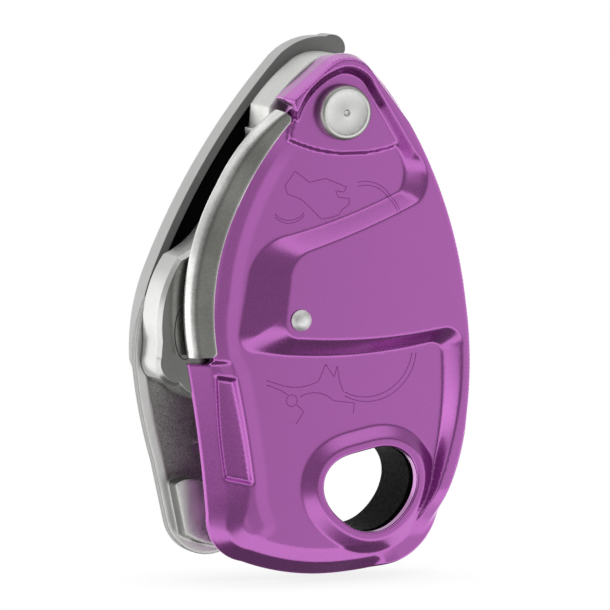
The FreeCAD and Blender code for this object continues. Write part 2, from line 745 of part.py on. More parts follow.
def make_wear_plate_rivet():
    """Small dome rivet through the plateau and the wear plate."""
    seat = "-(sizes.moving_inner + sizes.moving_thickness + sizes.plateau_rise)"
    back = "-(sizes.moving_inner - sizes.lip_clearance - sizes.lip_thickness)"
    return turned("wear_plate_rivet", "sizes.small_rivet_x", "sizes.small_rivet_z", [
        ("0 mm", f"{seat} - 1.3"),
        ("1.2 mm", f"{seat} - 1.15"),
        ("2.1 mm", f"{seat} - 0.7"),
        ("sizes.small_rivet_radius", f"{seat}"),
        ("sizes.small_rivet_radius - 1.1", f"{seat}"),
        ("sizes.small_rivet_radius - 1.1", f"{back} + 0"),
        ("sizes.small_rivet_radius - 0.4", f"{back} + 0"),
        ("sizes.small_rivet_radius - 0.4", f"{back} + 0.5"),
        ("0 mm", f"{back} + 0.5"),
    ])


def make_pivot_spacer():
    return turned("pivot_spacer", *PIVOT_AT, [
        ("sizes.pivot_radius + sizes.running_gap", "-sizes.moving_inner"),
        ("sizes.boss_radius - 0.3", "-sizes.moving_inner"),
        ("sizes.boss_radius - 0.3", "-sizes.moving_inner + 0.55"),
        ("sizes.pivot_radius + sizes.running_gap", "-sizes.moving_inner + 0.55"),
    ])


# ---------------------------------------------------------------- cam
def make_cam():
    """Grooved drum with a nose on the left that sticks out between the rope strands."""
    body = new_body("cam")
    back = front_sketch(body, "cam_outline", "sizes.cam_back")
    draw(back, outline_edges((-22.0, 65.34), [
        ("arc", -29.0, 67.2, -36.0, 65.6),
        ("arc", -40.5, 60.0, -46.0, 56.6),
        ("arc", -49.6, 49.8, -51.2, 36.6),
        ("line", -51.5, 33.0),
        ("arc", -50.6, 28.0, -46.4, 25.8),
        ("arc", -36.0, 21.6, -26.0, 33.7),
        ("arc", 8.0, 48.0, -22.0, 65.34),
    ]))
    pad(body, "cam_pad", back, "sizes.cam_front + sizes.cam_back")
    round_edges(body, "nose_bevel", "Chamfer", "1.0 mm",
                lambda e: at_y(e, -size("cam_front")) and e.BoundBox.XMax < -20)

    # rope groove round the drum
    section = body.newObject("Sketcher::SketchObject", "groove_section")
    section.AttachmentSupport = [(base_plane(body, "XY_Plane"), "")]
    section.MapMode = "FlatFace"
    section.setExpression("AttachmentOffset.Base.z", "sizes.drum_z")
    section.setExpression("AttachmentOffset.Base.x", "sizes.drum_x")
    middle_y = (size("cam_back") - size("cam_front")) / 2
    section.addGeometry(Part.Circle(Vector(size("drum_radius") + 4.2, middle_y, 0),
                                    Vector(0, 0, 1), size("rope_radius")))
    groove = body.newObject("PartDesign::Groove", "rope_groove")
    groove.Profile = section
    groove.ReferenceAxis = (section, ["V_Axis"])
    groove.Angle = 215
    groove.Midplane = True
    doc.recompute()

    # bearing bore and spring pocket
    cut_circle(body, "bearing_bore", *AXLE_AT, "sizes.axle_radius + sizes.bearing_wall",
               "-10 mm", "30 mm")
    cut_circle(body, "spring_pocket", *AXLE_AT, "sizes.spring_pocket_radius", "-10 mm",
               "10 - sizes.cam_front + sizes.spring_pocket_depth")
    # arc recess for the release pin, long enough for every pair of handle and cam positions
    depth = "6 mm"
    reach = size("release_radius") + 0.7
    arm = size("release_arm_length")
    release = front_sketch(body, "release_recess_outline", "sizes.cam_back - 3.4")
    draw(release, sector_edges(AXLE, arm - reach, arm + reach, 56,
                               64 + size("handle_travel") + size("cam_travel")))
    pocket(body, "release_recess", release, depth)
    # arc recess for the stop pin
    stop_reach = size("stop_radius") + 0.3
    stop = front_sketch(body, "stop_recess_outline", "sizes.cam_back - 3.6")
    draw(stop, sector_edges(AXLE, size("stop_arm") - stop_reach, size("stop_arm") + stop_reach,
                            -1.5, size("cam_travel") + 1.5))
    pocket(body, "stop_recess", stop, depth)
    # small blind hole for the outer leg of the return spring
    cut_circle(body, "spring_leg_hole", "sizes.axle_x + sizes.axle_radius + 2.7", "sizes.axle_z", "0.6 mm",
               "-sizes.cam_front + sizes.spring_pocket_depth - 0.5", "2 mm")
    return body


def make_cam_bearing():
    front = "-sizes.cam_front + sizes.spring_pocket_depth"
    return turned("cam_bearing", *AXLE_AT, [
        ("sizes.axle_radius + sizes.running_gap", front),
        ("sizes.axle_radius + sizes.bearing_wall", front),
        ("sizes.axle_radius + sizes.bearing_wall", "sizes.cam_back"),
        ("sizes.axle_radius + sizes.running_gap", "sizes.cam_back"),
    ])


def coil(label, axis, y_start, pitch, turns, coil_radius, wire_radius, start_deg, inner_leg,
         outer_leg):
    """Round-wire torsion spring about a front-to-back axis, with two short legs."""
    helix = Part.makeHelix(pitch, pitch * turns, coil_radius)
    helix.rotate(Vector(0, 0, 0), Vector(0, 0, 1), start_deg)
    # the helix grows along +Z; turn it so that it grows along +Y
    helix.rotate(Vector(0, 0, 0), Vector(1, 0, 0), -90)
    helix.translate(Vector(axis[0], y_start, axis[1]))
    wire = Part.Wire(helix.Edges)
    begin = wire.Edges[0].valueAt(wire.Edges[0].FirstParameter)
    tangent = wire.Edges[0].tangentAt(wire.Edges[0].FirstParameter)
    profile = Part.Wire([Part.makeCircle(wire_radius, begin, tangent)])
    solid = wire.makePipeShell([profile], True, True)
    ends = [wire.Edges[0].valueAt(wire.Edges[0].FirstParameter),
            wire.Edges[-1].valueAt(wire.Edges[-1].LastParameter)]
    pieces = [solid]
    for point, leg in zip(ends, (inner_leg, outer_leg)):
        pieces.append(Part.makeSphere(wire_radius, point))
        direction = Vector(*leg)
        pieces.append(Part.makeCylinder(wire_radius, direction.Length, point, direction))
    shape = pieces[0].fuse(pieces[1:]).removeSplitter()
    feature = doc.addObject("Part::Feature", label)
    feature.Label = label
    feature.Shape = shape
    return feature


def make_cam_return_spring():
    """Torsion spring in the cam's front pocket."""
    return coil("cam_return_spring", AXLE, -size("cam_front") + 0.95, 0.95, 2.0,
                size("axle_radius") + 2.7, 0.42, 0, (0.7, 0, 0.0), (0.0, 0.9, 0))


# ---------------------------------------------------------------- handle
def handle_outline():
    """Lever seen from the front: curved grip up to the tip, hub around the axle."""
    return outline_edges((2.9, 103.2), [
        ("arc", 2.0, 106.4, -2.0, 107.0),
        ("arc", -8.5, 106.2, -14.5, 102.6),
        ("arc", -34.5, 76.6, -47.6, 50.8),
        ("arc", -50.2, 40.5, -50.6, 30.5),
        ("arc", -46.0, 24.0, -38.0, 21.4),
        ("arc", -20.0, 18.0, -2.0, 25.6),
        ("arc", 1.4, 40.0, -3.4, 55.0),
        ("arc", -8.0, 80.0, 2.9, 103.2),
    ])


def make_handle_shell():
    """U-shaped nylon lever, open towards the plate, with a boss for the hub."""
    body = new_body("handle_shell")
    back = front_sketch(body, "lever_outline", "sizes.handle_front + sizes.handle_depth")
    draw(back, handle_outline())
    pad(body, "lever", back, "sizes.handle_depth")
    rear = size("handle_front") + size("handle_depth")
    round_edges(body, "rear_rounding", "Fillet", "3.0 mm", lambda e: at_y(e, rear))
    inside = front_sketch(body, "hollow_outline",
                          "sizes.handle_front + sizes.handle_depth - sizes.handle_wall")
    draw(inside, inset_edges(handle_outline(), size("handle_wall")))
    hollow = pocket(body, "hollow", inside, "sizes.handle_depth")
    hollow.Reversed = True
    doc.recompute()
    boss = front_sketch(body, "boss_outline",
                        "sizes.handle_front + sizes.handle_depth - sizes.handle_wall + 0.1")
    circle(boss, *AXLE_AT, "sizes.hub_radius + 1.4")
    pad(body, "boss", boss, "1.0 mm")
    cut_circle(body, "hub_hole", *AXLE_AT, "sizes.hub_radius", "0 mm", "30 mm")
    # solid tip
    tip = front_sketch(body, "tip_outline", "sizes.handle_front + sizes.handle_depth - 1.5")
    draw(tip, outline_edges((-22.1, 92.3), [
        ("arc", -18.05, 97.2, -13.8, 101.9),
        ("arc", -8.2, 105.2, -2.1, 106.0),
        ("arc", 1.2, 105.7, 2.0, 103.6),
        ("arc", -2.9, 97.25, -5.5, 92.35),
    ]))
    pad(body, "tip", tip, "sizes.handle_depth - 1.5")
    # grip ribs on the rear face
    for number in range(6):
        x = -29.0 + 4.4 * number
        z = 80.0 + 4.0 * number
        rib = front_sketch(body, f"rib_{number}",
                           "sizes.handle_front + sizes.handle_depth + 0.6")
        draw(rib, sector_edges((x + 7.0, z - 6.4), 5.6, 6.8, 112, 158))
        pad(body, f"rib_pad_{number}", rib, "0.9 mm")
    return body


def make_handle_core():
    """Black filler between the lever's walls, above the hub."""
    body = new_body("handle_core")
    back = front_sketch(body, "core_outline",
                        "sizes.handle_front + sizes.handle_depth - sizes.handle_wall")
    draw(back, outline_edges((-9.8, 66.0), [
        ("arc", -10.3, 79.0, -8.0, 91.4),
        ("line", -20.6, 91.4),
        ("arc", -31.2, 76.4, -43.6, 53.0),
        ("line", -36.6, 52.0),
        ("arc", -29.0, 61.0, -20.0, 62.0),
    ]))
    pad(body, "core", back, "sizes.handle_depth - sizes.handle_wall - 1.4")
    return body


def make_handle_hub():
    """Steel sleeve on the axle with a flange inside the lever."""
    rear = "sizes.handle_front + sizes.handle_depth"
    return turned("handle_hub", *AXLE_AT, [
        ("sizes.axle_radius + sizes.running_gap", "sizes.rope_gap_half + sizes.plate_thickness + 0.05"),
        ("sizes.hub_radius", "sizes.rope_gap_half + sizes.plate_thickness + 0.05"),
        ("sizes.hub_radius", f"{rear} - 0.05"),
        ("sizes.axle_radius + sizes.running_gap", f"{rear} - 0.05"),
    ])


def make_release_arm():
    """Flat steel arm fixed on the hub; it carries the release pin."""
    body = new_body("release_arm")
    back = front_sketch(body, "arm_outline", "sizes.handle_front + 2.1")
    angle = math.radians(60)
    length = size("release_arm_length")
    x, z = AXLE
    tip = (x + length * math.cos(angle), z + length * math.sin(angle))
    hub = size("hub_radius") + 1.4
    nose = 3.2

    def around(centre, radius, degrees):
        turn = math.radians(degrees)
        return (centre[0] + radius * math.cos(turn), centre[1] + radius * math.sin(turn))

    lean = math.degrees(math.acos((hub - nose) / length))
    draw(back, outline_edges(around(AXLE, hub, 60 + lean), [
        ("arc", *around(AXLE, hub, 240), *around(AXLE, hub, 60 - lean)),
        ("line", *around(tip, nose, 60 - lean)),
        ("arc", *around(tip, nose, 60), *around(tip, nose, 60 + lean)),
    ]))
    pad(body, "arm", back, "2.0 mm")
    cut_circle(body, "hub_hole", *AXLE_AT, "sizes.hub_radius", "0 mm", "30 mm")
    cut_circle(body, "pin_hole", "sizes.axle_x + sizes.release_arm_length * cos(60 deg)",
               "sizes.axle_z + sizes.release_arm_length * sin(60 deg)", "sizes.release_radius",
               "0 mm", "30 mm")
    return body


def make_release_pin():
    """Pin that reaches forward through the back plate into the cam's arc recess."""
    return turned("release_pin", "sizes.axle_x + sizes.release_arm_length * cos(60 deg)",
                  "sizes.axle_z + sizes.release_arm_length * sin(60 deg)", [
                      ("0 mm", "sizes.cam_back - 3.0"),
                      ("sizes.release_radius - 0.4", "sizes.cam_back - 3.0"),
                      ("sizes.release_radius", "sizes.cam_back - 2.6"),
                      ("sizes.release_radius", "sizes.handle_front + 2.1"),
                      ("0 mm", "sizes.handle_front + 2.1"),
                  ])


def make_handle_return_spring():
    """Torsion spring round the hub; one leg in the back plate, one behind the arm."""
    return coil("handle_return_spring", AXLE, size("handle_front") + 2.9, 1.15, 2.5, 8.6, 0.5,
                110, (0, -(2.9 + size("handle_front") - FIXED_FRONT - 1.6), 0), (2.2, 0, 0.8))


# ---------------------------------------------------------------- selector
def make_selector_knob():
    """Knob with a pointer wing, on the stub behind the lever."""
    body = new_body("selector_knob")
    back = front_sketch(body, "knob_outline", "sizes.knob_front + sizes.knob_thickness")
    x, z = AXLE
    radius = size("knob_radius")

    def at(length, degrees):
        turn = math.radians(degrees)
        return (x + length * math.cos(turn), z + length * math.sin(turn))

    draw(back, outline_edges(at(radius, 290), [
        ("arc", *at(radius, 75), *at(radius, 220)),
        ("line", *at(radius + 4.5, 245)),
        ("arc", *at(radius + 5.6, 255), *at(radius + 4.5, 265)),
    ]))
    pad(body, "knob", back, "sizes.knob_thickness")
    rear = size("knob_front") + size("knob_thickness")
    round_edges(body, "knob_rounding", "Fillet", "1.0 mm", lambda e: at_y(e, rear))
    cut_circle(body, "stub_hole", *AXLE_AT, "sizes.stub_radius + sizes.running_gap", "0 mm", "60 mm")
    # radial hole for the click ball and its spring
    side = body.newObject("Sketcher::SketchObject", "detent_hole_sketch")
    side.AttachmentSupport = [(base_plane(body, "XY_Plane"), "")]
    side.MapMode = "FlatFace"
    side.setExpression("AttachmentOffset.Base.z", "sizes.axle_z")
    circle(side, "sizes.axle_x", "sizes.knob_front + 2.4", "1.05 mm")
    hole = body.newObject("PartDesign::Pocket", "detent_hole")
    hole.Profile = side
    hole.Reversed = True
    hole.setExpression("Length", "sizes.stub_radius + 4.6")
    doc.recompute()
    # finger grooves round the rim
    tooth = front_sketch(body, "tooth_outline", "0 mm")
    tooth.addGeometry(Part.Circle(Vector(x + radius + 0.9, z, 0), Vector(0, 0, 1), 1.6))
    first = pocket(body, "finger_groove", tooth, "60 mm")
    ring = body.newObject("PartDesign::PolarPattern", "finger_grooves")
    ring.Originals = [first]
    axis = body.newObject("PartDesign::Line", "knob_axis")
    axis.AttachmentSupport = [(base_plane(body, "XZ_Plane"), "")]
    axis.MapMode = "ObjectZ"
    axis.AttachmentOffset = Placement(Vector(x, z, 0), Rotation())
    doc.recompute()
    ring.Axis = (axis, [""])
    ring.Angle = 150
    ring.Occurrences = 6
    body.Tip = ring
    doc.recompute()
    return body


def make_detent_ball():
    ball = doc.addObject("Part::Sphere", "detent_ball")
    ball.Label = "detent_ball"
    ball.setExpression("Radius", "1.0 mm")
    ball.setExpression("Placement.Base.x", "sizes.axle_x")
    ball.setExpression("Placement.Base.y", "sizes.knob_front + 2.4")
    ball.setExpression("Placement.Base.z", "sizes.axle_z + sizes.stub_radius - 0.5 + 1.3")
    doc.recompute()
    return ball


def make_detent_spring():
    """Compression spring between the ball and the end of its hole."""
    start = Vector(AXLE[0], size("knob_front") + 2.4, AXLE[1] + size("stub_radius") + 2.05)
    helix = Part.makeHelix(0.55, 2.2, 0.66)
    helix.translate(start)
    wire = Part.Wire(helix.Edges)
    begin = wire.Edges[0].valueAt(wire.Edges[0].FirstParameter)
    tangent = wire.Edges[0].tangentAt(wire.Edges[0].FirstParameter)
    profile = Part.Wire([Part.makeCircle(0.18, begin, tangent)])
    feature = doc.addObject("Part::Feature", "detent_spring")
    feature.Label = "detent_spring"
    feature.Shape = wire.makePipeShell([profile], True, True)
    return feature


# ---------------------------------------------------------------- build and write
MAKERS = [
    make_fixed_side_plate,
    make_friction_plate,
    make_friction_plate_rivets,
    make_pivot_rivet,
    make_pivot_rear_washer,
    make_attachment_bush,
    make_cam_axle,
    make_cam_thrust_washer,
    make_cam_stop_pin,
    make_axle_retaining_ring,
    make_moving_side_plate,
    make_wear_plate,
    make_wear_plate_rivet,
    make_pivot_spacer,
    make_cam,
    make_cam_bearing,
    make_cam_return_spring,
    make_handle_shell,
    make_handle_core,
    make_handle_hub,
    make_release_arm,
    make_release_pin,
    make_handle_return_spring,
    make_selector_knob,
    make_detent_ball,
    make_detent_spring,
]
nodes = [maker() for maker in MAKERS]
doc.recompute()

faults = []
for item in doc.Objects:
    if "Invalid" in item.State or "Error" in item.State:
        faults.append(f"{item.Label}: {item.getStatusString()}")
for node in nodes:
    if node.Shape.isNull() or not node.Shape.isValid() or not node.Shape.Solids:
        faults.append(f"{node.Label}: bad shape")
    else:
        print(f"{node.Label}: {len(node.Shape.Solids)} solid, {node.Shape.Volume:.1f} mm3")
if faults:
    raise RuntimeError("; ".join(faults))

os.makedirs("parts", exist_ok=True)
for node in nodes:
    node.Shape.exportStep(f"parts/{node.Label}.step")
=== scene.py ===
import json
import math

import bpy
import numpy as np
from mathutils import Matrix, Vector
from mathutils.geometry import delaunay_2d_cdt


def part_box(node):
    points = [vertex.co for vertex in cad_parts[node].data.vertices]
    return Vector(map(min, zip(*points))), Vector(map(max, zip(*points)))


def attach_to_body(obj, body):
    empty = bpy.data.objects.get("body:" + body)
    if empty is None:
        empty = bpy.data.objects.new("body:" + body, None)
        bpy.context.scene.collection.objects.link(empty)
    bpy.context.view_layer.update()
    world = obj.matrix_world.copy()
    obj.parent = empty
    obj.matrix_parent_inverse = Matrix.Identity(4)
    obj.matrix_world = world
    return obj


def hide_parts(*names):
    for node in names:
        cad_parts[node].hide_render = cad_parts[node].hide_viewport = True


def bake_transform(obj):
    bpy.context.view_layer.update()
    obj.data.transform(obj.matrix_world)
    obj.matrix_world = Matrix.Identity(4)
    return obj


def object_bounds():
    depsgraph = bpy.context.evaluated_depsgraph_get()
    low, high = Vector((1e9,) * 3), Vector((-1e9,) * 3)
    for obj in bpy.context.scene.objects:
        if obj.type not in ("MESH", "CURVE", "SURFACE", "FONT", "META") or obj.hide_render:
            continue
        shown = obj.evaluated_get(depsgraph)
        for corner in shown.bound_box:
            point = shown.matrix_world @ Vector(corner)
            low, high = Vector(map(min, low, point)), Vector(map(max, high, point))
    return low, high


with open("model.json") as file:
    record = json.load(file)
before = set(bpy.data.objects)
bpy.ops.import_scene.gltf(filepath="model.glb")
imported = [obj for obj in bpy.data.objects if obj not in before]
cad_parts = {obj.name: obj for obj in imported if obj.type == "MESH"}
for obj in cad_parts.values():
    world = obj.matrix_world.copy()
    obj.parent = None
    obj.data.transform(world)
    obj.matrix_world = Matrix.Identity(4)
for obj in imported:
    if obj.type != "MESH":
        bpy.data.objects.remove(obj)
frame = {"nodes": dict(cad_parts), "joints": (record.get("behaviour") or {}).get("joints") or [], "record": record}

CAD_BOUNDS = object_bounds()
MM = 0.001
JOINTS = {joint["name"]: joint for joint in frame["joints"]}


# ------------------------------------------------------------------ sizes from the frame (mm)
def joint_point(name):
    """(x, z) of a hinge."""
    x, _, z = JOINTS[name]["pos_m"]
    return np.array([x / MM, z / MM])


def extent(node, axis):
    """Lowest and highest value of a CAD node along one axis."""
    low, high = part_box(node)
    return low[axis] / MM, high[axis] / MM


def middle(node, axis):
    """Centre of a CAD node along one axis."""
    return sum(extent(node, axis)) / 2


PIVOT = joint_point("plate_swing")
AXLE = joint_point("handle_pivot")
PLATEAU_RISE = 3.5
PLATFORM_RISE = 0.8
COLLAR_RISE = 1.8
SHEET = 2.5
PLATEAU = -extent("moving_side_plate", 1)[0]
WALL_BACK = -extent("moving_side_plate", 1)[1]
FLOOR = PLATEAU - PLATEAU_RISE
ROLL_MIDDLE = middle("wear_plate", 1)
ROLL_OUTER = middle("wear_plate", 1) - extent("wear_plate", 1)[0]
LIP_THICKNESS = 1.2
SHANK_HOLE = 3.4
SMALL_SHANK_HOLE = 1.6
COLLAR_WIDTH = 5.2
COLLAR_SLOPE = 3.3
PLATE_EDGE_RADIUS = 0.55
HEAD_FRONT = extent("pivot_rivet", 1)[0]
HEAD_RADIUS = extent("pivot_rivet", 0)[1] - PIVOT[0]
SMALL_RIVET = (middle("wear_plate_rivet", 0), middle("wear_plate_rivet", 2))
SMALL_RADIUS = extent("wear_plate_rivet", 0)[1] - SMALL_RIVET[0]
SMALL_FRONT = extent("wear_plate_rivet", 1)[0]


# ------------------------------------------------------------------ flat curves (x, z)
def arcs(start, steps, spacing=0.5):
    """Points along arcs ("arc", through x, z, to x, z) and lines ("line", to x, z)."""
    points = [np.array(start, float)]
    for step in steps:
        begin = points[-1]
        end = np.array(step[-2:], float)
        if step[0] == "line":
            count = max(1, int(round(np.linalg.norm(end - begin) / spacing)))
            points += [begin + (end - begin) * k / count for k in range(1, count + 1)]
            continue
        via = np.array(step[1:3], float)
        (ax, az), (bx, bz), (cx, cz) = begin, via, end
        d = 2 * (ax * (bz - cz) + bx * (cz - az) + cx * (az - bz))
        squares = [p @ p for p in (begin, via, end)]
        x = (squares[0] * (bz - cz) + squares[1] * (cz - az) + squares[2] * (az - bz)) / d
        z = (squares[0] * (cx - bx) + squares[1] * (ax - cx) + squares[2] * (bx - ax)) / d
        centre = np.array([x, z])
        radius = np.linalg.norm(begin - centre)
        first, through, last = (math.atan2(*(p - centre)[::-1]) for p in (begin, via, end))
        turn = (last - first) % (2 * math.pi)
        if (through - first) % (2 * math.pi) > turn:
            turn -= 2 * math.pi
        count = max(2, int(round(abs(turn) * radius / spacing)))
        for k in range(1, count + 1):
            angle = first + turn * k / count
            points.append(centre + radius * np.array([math.cos(angle), math.sin(angle)]))
    return np.array(points)


def closed_arcs(start, steps, spacing=0.5):
    """A closed loop; the last step runs back to the start in a line."""
    loop = arcs(start, steps, spacing)
    if np.linalg.norm(loop[0] - loop[-1]) > 1e-3:
        loop = np.vstack([loop, arcs(loop[-1], [("line", *loop[0])], spacing)[1:]])
    return loop[:-1]


def resample(path, step):
    """The path as points at even steps of about this length."""
    lengths = np.linalg.norm(np.diff(path, axis=0), axis=1)
    along = np.concatenate([[0], np.cumsum(lengths)])
    pieces = max(1, int(round(along[-1] / step)))
    wanted = np.linspace(0, along[-1], pieces + 1)
    return np.column_stack([np.interp(wanted, along, path[:, k]) for k in (0, 1)])


def fractions(path, shares):
    """Points at given shares of a path's length."""
    lengths = np.linalg.norm(np.diff(path, axis=0), axis=1)
    along = np.concatenate([[0], np.cumsum(lengths)]) / lengths.sum()
    return np.column_stack([np.interp(shares, along, path[:, k]) for k in (0, 1)])


def clockwise(loop):
    """The loop, turned round if it runs the other way."""
    x, z = loop[:, 0], loop[:, 1]
    area = np.sum(x * np.roll(z, -1) - np.roll(x, -1) * z)
    return loop[::-1].copy() if area > 0 else loop


def inward(loop):
    """Unit normals that point into a clockwise closed loop."""
    tangent = np.roll(loop, -1, axis=0) - np.roll(loop, 1, axis=0)
    tangent /= np.maximum(np.linalg.norm(tangent, axis=1), 1e-9)[:, None]
    return np.column_stack([tangent[:, 1], -tangent[:, 0]])


def right_side(path):
    """Unit normals on the right-hand side of an open path."""
    tangent = np.gradient(path, axis=0)
    tangent /= np.maximum(np.linalg.norm(tangent, axis=1), 1e-9)[:, None]
    return np.column_stack([tangent[:, 1], -tangent[:, 0]])


def distance(points, path, closed=False):
    """Distance of each point to a polyline."""
    starts, ends = (path, np.roll(path, -1, axis=0)) if closed else (path[:-1], path[1:])
    best = np.full(len(points), 1e9)
    for a, b in zip(starts, ends):
        d = b - a
        gap = points - a
        t = np.clip((gap @ d) / max(d @ d, 1e-12), 0, 1)
        gap = gap - t[:, None] * d
        np.minimum(best, gap[:, 0] ** 2 + gap[:, 1] ** 2, out=best)
    return np.sqrt(best)


def inside(points, loop):
    """True for the points inside a closed loop."""
    result = np.zeros(len(points), bool)
    x, z = points[:, 0], points[:, 1]
    for a, b in zip(loop, np.roll(loop, -1, axis=0)):
        if a[1] != b[1]:
            crosses = (a[1] > z) != (b[1] > z)
            result ^= crosses & (x < (b[0] - a[0]) * (z - a[1]) / (b[1] - a[1]) + a[0])
    return result


def ramp(value, low, high):
    """0 below low, 1 above high, smooth between."""
    t = np.clip((value - low) / (high - low), 0, 1)
    return t * t * (3 - 2 * t)


def circle(centre, radius, count=64):
    """A round loop."""
    angle = np.linspace(0, 2 * math.pi, count, endpoint=False)
    return np.column_stack([centre[0] + radius * np.cos(angle), centre[1] + radius * np.sin(angle)])


def rounded_egg(extra, count=140):
    """Outline of the carabiner hole, moved outwards by extra."""
    angle = np.linspace(0, 2 * math.pi, count, endpoint=False)
    radius = 10.95 + extra + 0.65 * np.cos(angle - math.radians(12))
    radius += 1.05 * np.cos(2 * (angle - math.radians(8)))
    radius += 0.65 * np.cos(3 * (angle - math.radians(38)))
    return np.column_stack([radius * np.cos(angle), radius * np.sin(angle)])


# ------------------------------------------------------------------ height maps
class Relief:
    """Forward height (minus Y) over a rectangle of the x-z plane, on a square raster."""

    def __init__(self, low, high, cell):
        self.low = np.array(low, float)
        self.cell = cell
        self.shape = tuple(np.ceil((np.array(high) - self.low) / cell).astype(int) + 1)
        x = self.low[0] + cell * np.arange(self.shape[0])
        z = self.low[1] + cell * np.arange(self.shape[1])
        grid_x, grid_z = np.meshgrid(x, z, indexing="ij")
        self.points = np.column_stack([grid_x.ravel(), grid_z.ravel()])

    def blurred(self, heights, radius):
        """The heights with every fold rounded over about this radius."""
        reach = int(math.ceil(3 * radius / self.cell))
        offsets = np.arange(-reach, reach + 1) * self.cell
        weights = np.exp(-0.5 * (offsets / radius) ** 2)
        weights /= weights.sum()
        image = heights.reshape(self.shape)
        for axis in (0, 1):
            padding = [(reach, reach) if k == axis else (0, 0) for k in (0, 1)]
            padded = np.pad(image, padding, mode="edge")
            image = sum(weight * np.take(padded, range(k, k + image.shape[axis]), axis=axis)
                        for k, weight in enumerate(weights))
        return image.ravel()

    def slopes(self, heights):
        """Rates of change along x and z."""
        return [g.ravel() for g in np.gradient(heights.reshape(self.shape), self.cell)]

    def sample(self, values, points):
        """Values at any points, by bilinear interpolation."""
        image = values.reshape(self.shape)
        place = (points - self.low) / self.cell
        base = np.clip(np.floor(place).astype(int), 0, np.array(self.shape) - 2)
        u, v = np.clip(place - base, 0, 1).T
        i, j = base.T
        return (image[i, j] * (1 - u) * (1 - v) + image[i + 1, j] * u * (1 - v)
                + image[i, j + 1] * (1 - u) * v + image[i + 1, j + 1] * u * v)


# ------------------------------------------------------------------ meshes
def add_mesh(name, vertices, faces, material, normals=None):
    """A smooth-shaded mesh object from millimetre vertices."""
    mesh = bpy.data.meshes.new(name)
    mesh.from_pydata([tuple(v) for v in np.asarray(vertices, float) * MM], [], faces)
    mesh.update()
    mesh.materials.append(material)
    mesh.polygons.foreach_set("use_smooth", np.ones(len(mesh.polygons), bool))
    if normals is not None:
        mesh.normals_split_custom_set(normals)
    obj = bpy.data.objects.new(name, mesh)
    bpy.context.scene.collection.objects.link(obj)
    return obj


def sharpen(obj, degrees=35):
    """Shade smooth except across edges sharper than the angle."""
    mesh = obj.data
    face_normals = np.zeros(len(mesh.polygons) * 3)
    mesh.polygons.foreach_get("normal", face_normals)
    face_normals = face_normals.reshape(-1, 3)
    owners = {}
    for polygon in mesh.polygons:
        for key in polygon.edge_keys:
            owners.setdefault(key, []).append(polygon.index)
    limit = math.cos(math.radians(degrees))
    for edge in mesh.edges:
        faces = owners.get(edge.key, [])
        if len(faces) == 2 and face_normals[faces[0]] @ face_normals[faces[1]] < limit:
            edge.use_edge_sharp = True
    return obj


def triangulate(loops, extra=None):
    """Triangles that fill the first loop but not the others; extra points may lie inside.

    The points come back as given: loops first, in order, then the extra points."""
    edges = []
    first = 0
    for loop in loops:
        count = len(loop)
        edges += [(first + k, first + (k + 1) % count) for k in range(count)]
        first += count
    every = np.vstack(loops if extra is None or not len(extra) else loops + [extra])
    result = delaunay_2d_cdt([Vector(p) for p in every], edges, [], 0, 1e-6)
    flat = np.array([tuple(v) for v in result[0]])
    origin = np.array([sources[0] if sources else -1 for sources in result[3]])
    triangles = np.array([face for face in result[2] if len(face) == 3])
    middles = flat[triangles].mean(axis=1)
    keep = inside(middles, loops[0])
    for loop in loops[1:]:
        keep &= ~inside(middles, loop)
    triangles = origin[triangles[keep]]
    triangles = triangles[(triangles >= 0).all(axis=1)]
    a, b, c = (every[triangles[:, k]] for k in range(3))
    area = (b[:, 0] - a[:, 0]) * (c[:, 1] - a[:, 1]) - (c[:, 0] - a[:, 0]) * (b[:, 1] - a[:, 1])
    triangles[area < 0] = triangles[area < 0][:, ::-1]
    return every, triangles[np.abs(area) > 1e-9]


def fill_points(loops, step, margin, creases=(), offsets=(), clearance=0.8):
    """Points inside a loop and outside its holes: rows along the creases and an even grid."""
    low, high = loops[0].min(axis=0), loops[0].max(axis=0)
    rows = []
    for number, z in enumerate(np.arange(low[1], high[1], step * math.sqrt(3) / 2)):
        x = np.arange(low[0] + (step / 2 if number % 2 else 0), high[0], step)
        rows.append(np.column_stack([x, np.full(len(x), z)]))
    grid = np.vstack(rows)
    strips = []
    for crease in creases:
        grid = grid[distance(grid, crease) > clearance]
        strips += [crease + offset * right_side(crease) for offset in offsets]
    points = np.vstack(strips + [grid])
    keep = inside(points, loops[0])
    for number, loop in enumerate(loops):
        keep &= distance(points, loop, True) > margin
        if number:
            keep &= ~inside(points, loop)
    points = points[keep]
    _, index = np.unique(np.round(points / 0.18).astype(int), axis=0, return_index=True)
    return points[np.sort(index)]


